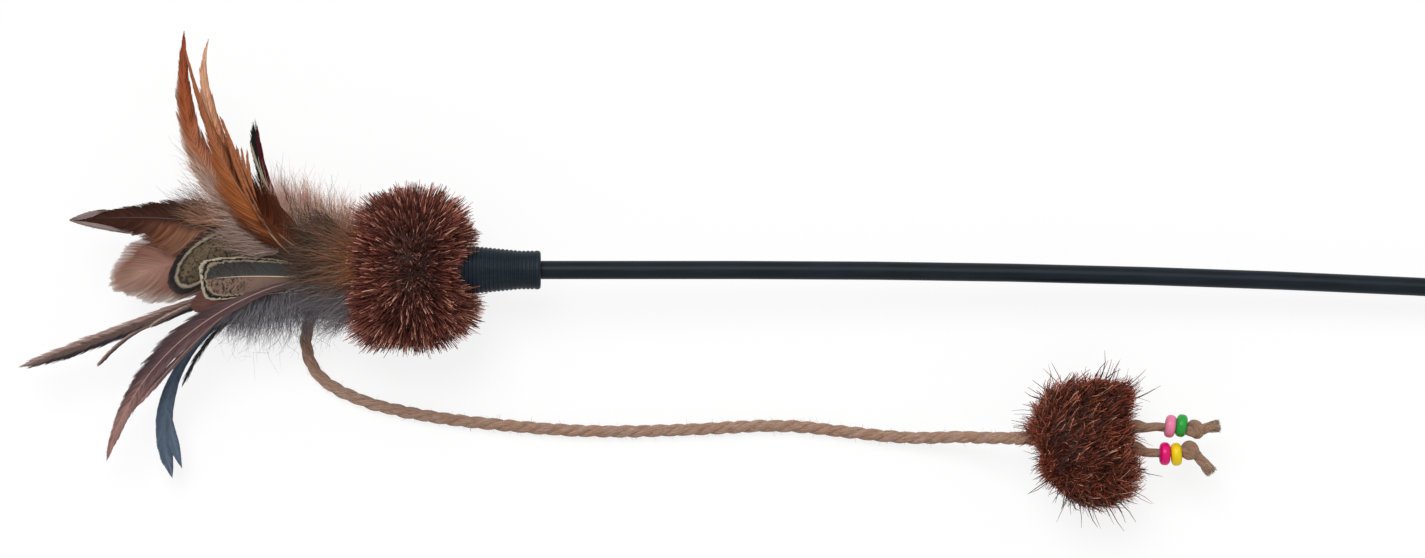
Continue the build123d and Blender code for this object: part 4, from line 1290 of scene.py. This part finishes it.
wisp_core = make_vane(
    "wisp_core", ((0, -2.6, 0), (-15.2, -0.5, -1.5), (-35.7, -9.7, -4.5), (-43.7, -30.4, -8)), width=0.8,
    outline=strap, finish=black_wisp, shaft=black_shaft, seed=44, ragged=0.3, parting=0.2, lead=0.14,
    barbs=160, shaft_radius=0.26)
plume_piece("black_wisp_feather", wisp_core + make_vane(
    "black_wisp_feather", ((0, -2.6, 0), (-15.2, -0.5, -1.5), (-35.7, -9.7, -4.5), (-43.5, -30.2, -8)),
    width=1.5, outline=strap, finish=black_wisp, shaft=black_shaft, seed=43, ragged=0.8, parting=0.9,
    lead=0.14, barbs=150, barb_width=0.16, shaft_radius=0.26))
plume_piece("brick_short_feather", make_vane(
    "brick_short_feather", ((0, -1.95, 1.13), (-7.5, -1.7, 0.0), (-25.4, -7.4, 0.0), (-41.3, -9.4, 0.1)),
    width=8.2, outline=blunt, finish=brick, shaft=dark_shaft, shaft_end=0.88, lead=0.16, seed=47,
    ragged=0.05, parting=0.08, left_gain=0.3, left_tip=0.8))


# The down: soft grey after-feathers that fill the mouth of the bundle. Their barbs hang loose and wavy,
# pink-grey and rust-tipped above, blue-grey below, and orange to olive where they lie over the quills.
def fan_bed(name, roots, tips, root_depth, tip_depth):
    """A fan of loose barbs: from a line of roots to a line of tips, in layers between two depths."""
    columns = 24
    layers = 6
    root_line = even_points(read_route(roots), columns)
    tip_line = even_points(read_route(tips), columns)
    rows = []
    for i in range(columns + 1):
        row = []
        for j in range(layers + 1):
            share = j / layers
            low = root_line[i] / mm
            high = tip_line[i] / mm
            root = wand_place(low.x, low.y, low.z + root_depth * (share - 0.5))
            tip = wand_place(high.x, high.y, high.z + tip_depth * (share - 0.5))
            row.append((root, tip - root))
        rows.append(row)
    return grid_mesh(name, rows)


def down_finish(name, root, middle, tip, odd):
    """Down: matt fluff that changes from root to tip, with some barbs of another shade."""
    cloud_fineness = 260.0
    finish, tree, shader = new_finish(name)
    place = baked_place(tree)
    colour = ramp(tree, place["Y"], (0.1, root), (0.5, middle), (0.95, tip))
    cloud = add(tree, "ShaderNodeTexNoise", object_place(tree), cloud_fineness, 2.0)
    share = maths(
        tree, "ADD", place["X"], maths(tree, "MULTIPLY", maths(tree, "SUBTRACT", cloud, 0.5), 1.2))
    share = add(tree, "ShaderNodeMapRange", share, 0.55, 1.0, 0.0, 0.8)
    colour = blend_colours(tree, share, colour, (*odd, 1))
    feed(tree, shader, "Base Color", colour)
    feed(tree, shader, "Roughness", maths(tree, "MULTIPLY_ADD", place["X"], 0.2, 0.7))
    feed(tree, shader, "Specular IOR Level", 0.1)
    return finish


def bed_area(bed):
    """The area of a bed."""
    return sum(face.area for face in bed.polygons)


def make_down(name, bed, finish, count, seed, width=0.2, scatter=0.2, spread=0.6, curl=0.05, clump=0.5):
    """About this many loose wavy barbs, sown on a bed."""
    return make_piece(name, bed, sown_fibres, {
        "Density": count / bed_area(bed), "Seed": seed, "Spread": spread, "Scatter": scatter,
        "Clump": clump, "Clump Size": 2.4 * mm, "Lean": 0.12, "Steps": 7, "Width": width * mm, "Taper": 0.8,
        "Flat": 0.5, "Curl": curl, "Waves": 2.0, "Twist": 20.0, "Finish": finish,
    })


pink_down = down_finish(
    "down_pink", root=(0.26, 0.17, 0.13), middle=(0.86, 0.6, 0.49), tip=(0.68, 0.34, 0.24),
    odd=(0.94, 0.8, 0.72))
blue_down = down_finish(
    "down_blue", root=(0.19, 0.178, 0.2), middle=(0.29, 0.272, 0.305), tip=(0.22, 0.205, 0.23),
    odd=(0.52, 0.47, 0.49))
orange_down = down_finish(
    "down_orange", root=(0.7, 0.29, 0.12), middle=(0.43, 0.2, 0.115), tip=(0.095, 0.07, 0.052),
    odd=(0.22, 0.165, 0.13))
ash_down = down_finish(
    "down_ash", root=(0.4, 0.3, 0.28), middle=(0.33, 0.285, 0.295), tip=(0.13, 0.123, 0.14),
    odd=(0.4, 0.35, 0.36))
pale_down = down_finish(
    "down_pale", root=(0.3, 0.2, 0.165), middle=(0.5, 0.36, 0.3), tip=(0.4, 0.26, 0.2),
    odd=(0.6, 0.46, 0.4))
tuft_pink = down_finish(
    "down_tuft", root=(0.5, 0.35, 0.28), middle=(0.8, 0.58, 0.48), tip=(0.66, 0.42, 0.33),
    odd=(0.88, 0.72, 0.64))
brown_down = down_finish(
    "down_brown", root=(0.66, 0.36, 0.23), middle=(0.58, 0.31, 0.2), tip=(0.06, 0.036, 0.028),
    odd=(0.2, 0.11, 0.08))
olive_hair = down_finish(
    "olive_hair", root=(0.15, 0.1, 0.07), middle=(0.075, 0.048, 0.033), tip=(0.055, 0.035, 0.025),
    odd=(0.3, 0.2, 0.15))
dark_hair = down_finish(
    "dark_hair", root=(0.12, 0.1, 0.1), middle=(0.06, 0.05, 0.05), tip=(0.04, 0.034, 0.034),
    odd=(0.14, 0.09, 0.07))

upper_bed = fan_bed(
    "down_upper", [(-15.5, 3.5, -1), (-22, 3.5, -1), (-29.6, 4, -1), (-36, 7, -1)],
    [
        (-15.5, 17, -4), (-19, 19.5, -5), (-24, 20.5, -6), (-28, 21.4, -6), (-32, 24.2, -6), (-37, 25.4, -5),
        (-40.5, 22, -4),
    ],
    root_depth=8, tip_depth=10)
edge_bed = fan_bed(
    "down_upper_hair", [(-15.5, 8, 1), (-24, 8, 1), (-33, 10, 1)],
    [(-14.5, 22, -2), (-20, 24, -3), (-29, 26, -3), (-38, 28, -3)], root_depth=6, tip_depth=8)
down_upper = join_pieces("down_upper_fluff", [
    make_down(
        "down_upper_fluff", upper_bed, pink_down, count=3000, seed=51, spread=0.5, scatter=0.12,
        clump=0.9),
    make_down("down_upper_hair", edge_bed, olive_hair, count=80, seed=52, curl=0.06)])
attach(down_upper, "wand")
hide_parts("down_upper")

lower_bed = fan_bed(
    "down_lower", [(-15.5, -1.5, -2), (-22, -1.5, -2), (-30, -2.5, -2), (-39.5, -5.5, -2.5), (-46.5, -9, -3)],
    [(-15, -10.5, -8), (-20, -13, -9), (-30, -17, -9), (-39, -19, -9), (-46.5, -18.5, -8), (-53, -15.5, -7)],
    root_depth=7, tip_depth=8)
hair_bed = fan_bed(
    "down_lower_hair", [(-15.5, -9, -4), (-25, -9, -4), (-36, -9, -4), (-48, -10, -4)],
    [(-14, -15, -9), (-24, -20, -10), (-36, -24, -10), (-48, -22, -9), (-56, -18, -8)], root_depth=5,
    tip_depth=6)
down_lower = join_pieces("down_lower_fluff", [
    make_down("down_lower_fluff", lower_bed, blue_down, count=2800, seed=53),
    make_down(
        "down_lower_hair", hair_bed, dark_hair, count=170, seed=54, width=0.15, curl=0.16, scatter=0.3)])
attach(down_lower, "wand")
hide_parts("down_lower")

crown_bed = fan_bed(
    "down_crown", [(-14.5, 8, 4), (-14.5, 3, 5.5), (-14.5, -3, 5.5)],
    [(-27, 15, 5), (-33, 10, 7), (-35, 4, 7.5), (-33, -2, 7), (-29, -6, 6)], root_depth=4, tip_depth=4)
shawl_bed = fan_bed(
    "down_shawl", [(-14.5, -1, 4.5), (-14.5, -5, 3.5), (-14.5, -10, 1)],
    [(-32, -3, 6.2), (-33, -7, 5), (-30, -13, 1), (-22, -18, -3)], root_depth=3, tip_depth=4)
olive_bed = fan_bed(
    "down_crown_hair", [(-19, 11, 5), (-22, 6, 6.5), (-22, 1, 7), (-20, -3, 6.5)],
    [(-27, 18, 5), (-33, 13, 7), (-36, 7.5, 8), (-36, 2, 8), (-32, -3.5, 7)], root_depth=3, tip_depth=3)
down_crown = join_pieces("down_crown_fluff", [
    make_down("down_crown_fluff", crown_bed, orange_down, count=1700, seed=57, spread=0.75, scatter=0.28),
    make_down("down_shawl", shawl_bed, ash_down, count=1100, seed=58, spread=0.7, scatter=0.25),
    make_down(
        "down_crown_hair", olive_bed, olive_hair, count=360, seed=64, width=0.26, spread=0.5, curl=0.08)])
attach(down_crown, "wand")
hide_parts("down_crown")

# Loose tufts: down from the shafts of the feathers themselves, where the vane gives way to fluff. There are
# three: dark over the pointed feather, pale under the front hackle, and pink-grey on the left hackle.
dark_bed = fan_bed(
    "tuft_dark", [(-44, 9, 0.6), (-48, 11.5, 0.6), (-53, 12.5, 0.6)],
    [(-52, 22, 0.4), (-58, 22.5, 0.2), (-65, 19, 0), (-64, 13, 0)], root_depth=2, tip_depth=3)
pale_bed = fan_bed(
    "tuft_pale", [(-35, 8, 2.2), (-35, 6.4, 2.2), (-35, 4.6, 2.2)],
    [(-50, 15, 1.8), (-54, 11.5, 1.8), (-53, 8.6, 1.8), (-47, 6.0, 2.0)], root_depth=1.6, tip_depth=1.6)
rust_bed = fan_bed(
    "tuft_pink", [(-40, 11, 2.4), (-46, 15, 2.6), (-53, 23, 3)],
    [(-52, 12, 2), (-57, 18, 2.2), (-60, 27, 2.6), (-61, 35, 3)], root_depth=2, tip_depth=3)
down_tufts = join_pieces("down_tufts", [
    make_down("tuft_dark", dark_bed, brown_down, count=620, seed=59),
    make_down("tuft_pale", pale_bed, pale_down, count=620, seed=60, width=0.24),
    make_down("tuft_pink", rust_bed, tuft_pink, count=300, seed=62, width=0.17)])
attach(down_tufts, "wand")


# The anchored twine: the hidden end of the jute line. It is bound in with the quills, comes out under the
# plume and turns down, where the free line goes on.
root_route = [
    (-10.6, 0.35, 17.8), (-16.0, 0.35, 18.0), (-20.6, 0.35, 18.0), (-21.27, 0.35, 14.0),
    (-21.27, 0.35, 9.0),
]
twine_root = lay_twine("twine_anchor", read_route(root_route), twine_sizes)
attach(twine_root, "wand")
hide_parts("twine_root")


# The lure: a small pom-pom of the same fibre, tied on the twine. Play has matted it, so fine fuzz fills it,
# copper fibres lie combed across it, and single long bristles stand out of it.
lure_middle = Vector((173.9, -44.3, 15.1)) * mm
lure_along = Vector((1, 0, 0))
lure_up = Vector((0, 0, 1))
lure_ring = 5.0 * mm
lure_half_length = 12.8 * mm
lure_radius = 16.6 * mm
lure_corner = 0.72
lure_bulges = (
    (23, 9, -0.2), (46, 13, 0.15), (112, 32, -0.12), (142, 10, -0.05), (172, 5, 0.3), (192, 8, -0.06),
    (219, 11, 0.07), (248, 12, -0.07), (270, 14, 0.05), (310, 22, 0.13), (331, 8, 0.06), (346, 8, -0.16),
)


def lure_form(turn, bow):
    """The lure is flat where it lies on the table, worn away at its near left corner, and lumpy all round."""
    pressed = 0.1
    worn = 0.24
    tall_gain = 1.0 - pressed * max(0.0, -math.sin(turn)) ** 2
    corner_gain = 1.0 - worn * max(0.0, -math.cos(turn)) * max(0.0, -math.sin(bow))
    bulge = bulge_gain(
        turn, bow, lure_ring, lure_half_length, lure_radius, corner=lure_corner, bulges=lure_bulges)
    return tall_gain * corner_gain * bulge, corner_gain * bulge


def lure_bed(name, stretch, start):
    """The lure's roots, at a share of the way from its tie to an outside that may be stretched."""
    return lobed_bed(
        name, lure_middle, lure_along, lure_up, lure_ring, lure_half_length * stretch,
        lure_radius * stretch, start, near=-104, far=104, form=lure_form, corner=lure_corner)


def combed_bed(name, start, comb):
    """The lure's roots, with reaches that lie along its skin, all combed one way."""
    rise = 1.2 * mm
    bed = lure_bed(name, stretch=1.0, start=start)
    for kept in bed.attributes["reach"].data:
        out = Vector(kept.vector).normalized()
        kept.vector = comb - out * (comb.dot(out) - rise)
    return bed


fuzz_brown = copper_finish(
    "lure_fuzz", dark=(0.08, 0.0125, 0.006), copper=(0.205, 0.038, 0.017), glint=(0.44, 0.134, 0.067))
stray_brown = copper_finish(
    "lure_stray", dark=(0.05, 0.014, 0.01), copper=(0.12, 0.035, 0.022), glint=(0.26, 0.09, 0.06))
combed_copper = copper_finish(
    "lure_combed", dark=(0.14, 0.033, 0.018), copper=(0.42, 0.12, 0.07), glint=(0.78, 0.38, 0.26))
lure_fuzz = make_piece("lure_fuzz", lure_bed("lure_fuzz", stretch=0.97, start=0.6), sown_fibres, {
    "Density": 6.4e6, "Seed": 61, "Spread": 0.25, "Scatter": 0.5, "Clump": 1.2, "Clump Size": 2.2 * mm,
    "Lean": 0.4, "Steps": 3, "Width": 0.28 * mm, "Taper": 0.6, "Flat": 0.6, "Curl": 0.14, "Waves": 1.5,
    "Twist": 20.0, "Finish": fuzz_brown,
})
comb_bed = combed_bed("lure_combed", start=0.93, comb=Vector((4.6, 2.6, 0)) * mm)
lure_combed = make_piece("lure_combed", comb_bed, sown_fibres, {
    "Density": 7.5e5, "Seed": 63, "Spread": 0.5, "Scatter": 0.35, "Clump": 1.4, "Clump Size": 4.0 * mm,
    "Lean": 0.25, "Steps": 4, "Width": 0.42 * mm, "Taper": 0.6, "Flat": 0.5, "Curl": 0.06, "Waves": 1.0,
    "Twist": 20.0, "Finish": combed_copper,
})
lure_strays = make_piece("lure_strays", lure_bed("lure_strays", stretch=1.4, start=0.58), sown_fibres, {
    "Density": 8.0e4, "Seed": 67, "Spread": 0.4, "Scatter": 0.34, "Lean": 0.12, "Steps": 4,
    "Width": 0.4 * mm, "Taper": 0.7, "Flat": 0.6, "Curl": 0.03, "Waves": 1.0, "Twist": 20.0,
    "Finish": stray_brown,
})
lure_fibres = join_pieces("lure_fibres", [lure_fuzz, lure_combed, lure_strays])
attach(lure_fibres, "lure")
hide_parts("lure_pile")
# The lure's heart is painted shade too: its near-black colour darkens the gaps between the fibres.
lure_heart = pile_heart("lure_heart", lure_bed("lure_heart", stretch=1.0, start=0.8), shaded_packed_fibre)
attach(lure_heart, "lure")
core_route = [(156.5, -43.9, 15.1), (165, -44.1, 15.1), (175, -44.4, 15.1), (187, -44.3, 15.1)]
lure_core = lay_twine("lure_twine", read_route(core_route), twine_sizes)
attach(lure_core, "lure")
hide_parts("lure_core")


# The tails: the two ends of the lure's twine, each threaded through two beads, tied in an overhand knot
# that keeps the beads on, and left to fray.
jute_worn = jute_finish("jute_worn", tone=(0.86, 0.82, 0.74))
tail_sizes = {
    **twine_sizes, "Ply Radius": 0.95 * mm, "Ply Offset": 0.63 * mm, "Lay": 15 * mm, "Finish": jute_worn}
tail_height = 15.1


def fibre_finish():
    """Single jute fibres, straw to brown."""
    finish, tree, shader = new_finish("jute_fibre")
    place = baked_place(tree)
    feed(tree, shader, "Base Color", ramp(
        tree, place["X"], (0.0, (0.26, 0.16, 0.1)), (0.5, (0.42, 0.27, 0.19)), (1.0, (0.62, 0.46, 0.34))))
    feed(tree, shader, "Roughness", maths(tree, "MULTIPLY_ADD", place["Y"], 0.2, 0.6))
    return finish


jute_fibre = fibre_finish()


def make_tail(name, body, node, root, heading, run, sag, rise, loose, loose_heading, seed):
    """A tail of twine with its knot and frayed end. Sizes in millimetres, headings in degrees."""
    hidden_length = 2.5
    neck_share = 0.22
    knot_start = 0.82
    knot_blend = 0.1
    knot_reach = 1.2
    root_girth = 1.2
    neck_loss = 0.42
    knot_gain = 0.14
    fray_sides = 12
    fray_back = 2.2
    fray_length = 3.4
    fray_flare = 0.35
    fray_inner = 0.1
    fray_outer = 1.25
    ahead = Vector((math.cos(math.radians(heading)), math.sin(math.radians(heading)), 0))
    side = Vector((-ahead.y, ahead.x, 0))
    up = Vector((0, 0, 1))
    start = Vector((*root, tail_height))
    knot = start + ahead * run + side * sag
    loops = [
        (-2.7, 0.0, 0.0), (-1.3, -0.4, 0.3), (0.2, -1.5, 0.9), (1.2, -0.4, 1.5), (0.5, 1.3, 1.0),
        (-0.8, 1.3, -0.4), (-1.0, 0.1, -1.3), (0.2, -1.2, -1.0), (1.2, -0.5, 0.1),
    ]
    away = math.radians(loose_heading)
    out = Vector((math.cos(away), math.sin(away), 0))
    end = knot + ahead * knot_reach + out * loose
    route = [start - ahead * hidden_length + side * rise, start + side * rise]
    route += [start + ahead * run * neck_share, start + ahead * run * 0.45]
    route += [knot + ahead * a + side * b + up * c for a, b, c in loops]
    route += [knot + ahead * knot_reach + out * loose * 0.4, end]
    points = read_route(route)
    girths = []
    for point in points:
        gone = (point / mm - start).dot(ahead) / run
        slim = clamped(gone / neck_share)
        knotted = clamped((gone - knot_start) / knot_blend)
        girths.append(root_girth - neck_loss * slim + knot_gain * knotted)
    tail = lay_twine(name, points, tail_sizes, girths)
    across = out.cross(up)
    rows = []
    for i in range(fray_sides):
        turn = math.tau * i / fray_sides
        round_out = across * math.cos(turn) + up * math.sin(turn)
        inner = (end - out * fray_back + round_out * fray_inner) * mm
        outer = (end - out * fray_back + round_out * fray_outer) * mm
        flared = (out * fray_length + round_out * fray_flare) * mm
        rows.append([(inner, out * fray_length * mm), (outer, flared)])
    bed = grid_mesh(name + "_fray", rows, closed=True)
    fray = make_piece(name + "_fray", bed, sown_fibres, {
        "Density": 1.0e8, "Seed": seed, "Spread": 0.35, "Scatter": 0.1, "Lean": 0.12, "Steps": 5,
        "Width": 0.16 * mm, "Taper": 0.4, "Flat": 0.6, "Curl": 0.04, "Waves": 1.2, "Twist": 20.0,
        "Finish": jute_fibre,
    })
    tail = join_pieces(name, [tail, fray])
    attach(tail, body)
    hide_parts(node)


def twine_fuzz(name, body, twine, count, seed):
    """Short loose fibres that stand off laid twine."""
    stand_off = 0.9 * mm
    bed = twine.data.copy()
    bed.attributes.remove(bed.attributes["OFBake"])
    keep_on(bed, "reach", [corner.normal * stand_off for corner in bed.vertices])
    fuzz = make_piece(name, bed, sown_fibres, {
        "Density": count / bed_area(bed), "Seed": seed, "Spread": 0.7, "Scatter": 0.8, "Lean": 0.4,
        "Steps": 5, "Width": 0.07 * mm, "Taper": 0.4, "Flat": 0.7, "Curl": 0.1, "Waves": 1.2,
        "Twist": 20.0, "Finish": jute_fibre,
    })
    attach(fuzz, body)


twine_fuzz("twine_line_fuzz", "line", twine, count=1500, seed=75)
make_tail(
    "tail_upper_twine", "upper_tail", "tail_upper", root=(188.0, -41.15), heading=3, run=15.3, sag=-1.1,
    rise=0.3, loose=4.2, loose_heading=9, seed=71)
make_tail(
    "tail_lower_twine", "lower_tail", "tail_lower", root=(188.0, -47.45), heading=-3, run=13.9, sag=1.1,
    rise=0.9, loose=6.2, loose_heading=-52, seed=73)


# The beads: four turned wooden rondelles, dipped in bright gloss paint. The paint is thin and worn
# at the rim of the bore, where the wood shows.
def bead_finish(node, colour):
    """Gloss paint over wood, worn round the bore."""
    bare_wood = (0.5, 0.33, 0.18, 1)
    bare_radius = 1.75 * mm
    paint_radius = 2.15 * mm
    ragged_edge = 0.9 * mm
    speckle_fineness = 1400.0
    cloud_fineness = 500.0
    thin_paint = 0.72
    finish, tree, shader = new_finish(node + "_paint")
    low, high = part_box(node)
    middle = (Vector(low) + Vector(high)) / 2
    place = object_place(tree)
    local = vectors(tree, "SUBTRACT", place, tuple(middle))
    away = vectors(tree, "LENGTH", vectors(tree, "MULTIPLY", local, (0.25, 1.0, 1.0)))
    speckle = add(tree, "ShaderNodeTexNoise", place, speckle_fineness, 3.0)
    edge = maths(tree, "MULTIPLY_ADD", maths(tree, "SUBTRACT", speckle, 0.5), ragged_edge, away)
    worn = add(tree, "ShaderNodeMapRange", edge, bare_radius, paint_radius, 0.85, 0.0)
    cloud = add(tree, "ShaderNodeTexNoise", place, cloud_fineness, 2.0)
    deep = tuple(part * thin_paint for part in colour)
    paint = blend_colours(tree, cloud, (*deep, 1), (*colour, 1))
    feed(tree, shader, "Base Color", blend_colours(tree, worn, paint, bare_wood))
    feed(tree, shader, "Roughness", add(tree, "ShaderNodeMapRange", cloud, 0.3, 0.7, 0.22, 0.4))
    feed(tree, shader, "Specular IOR Level", 0.2)
    feed(tree, shader, "Coat Weight", 0.1)
    feed(tree, shader, "Coat Roughness", 0.1)
    feed(tree, shader, "Normal", add(tree, "ShaderNodeBump", 0.2, 0.05 * mm, None, speckle))
    return finish


for node, colour in (
    ("bead_pink", (0.95, 0.25, 0.42)), ("bead_green", (0.022, 0.4, 0.05)),
    ("bead_magenta", (0.88, 0.002, 0.19)), ("bead_yellow", (1.0, 0.72, 0.003)),
):
    paint_node(node, bead_finish(node, colour))
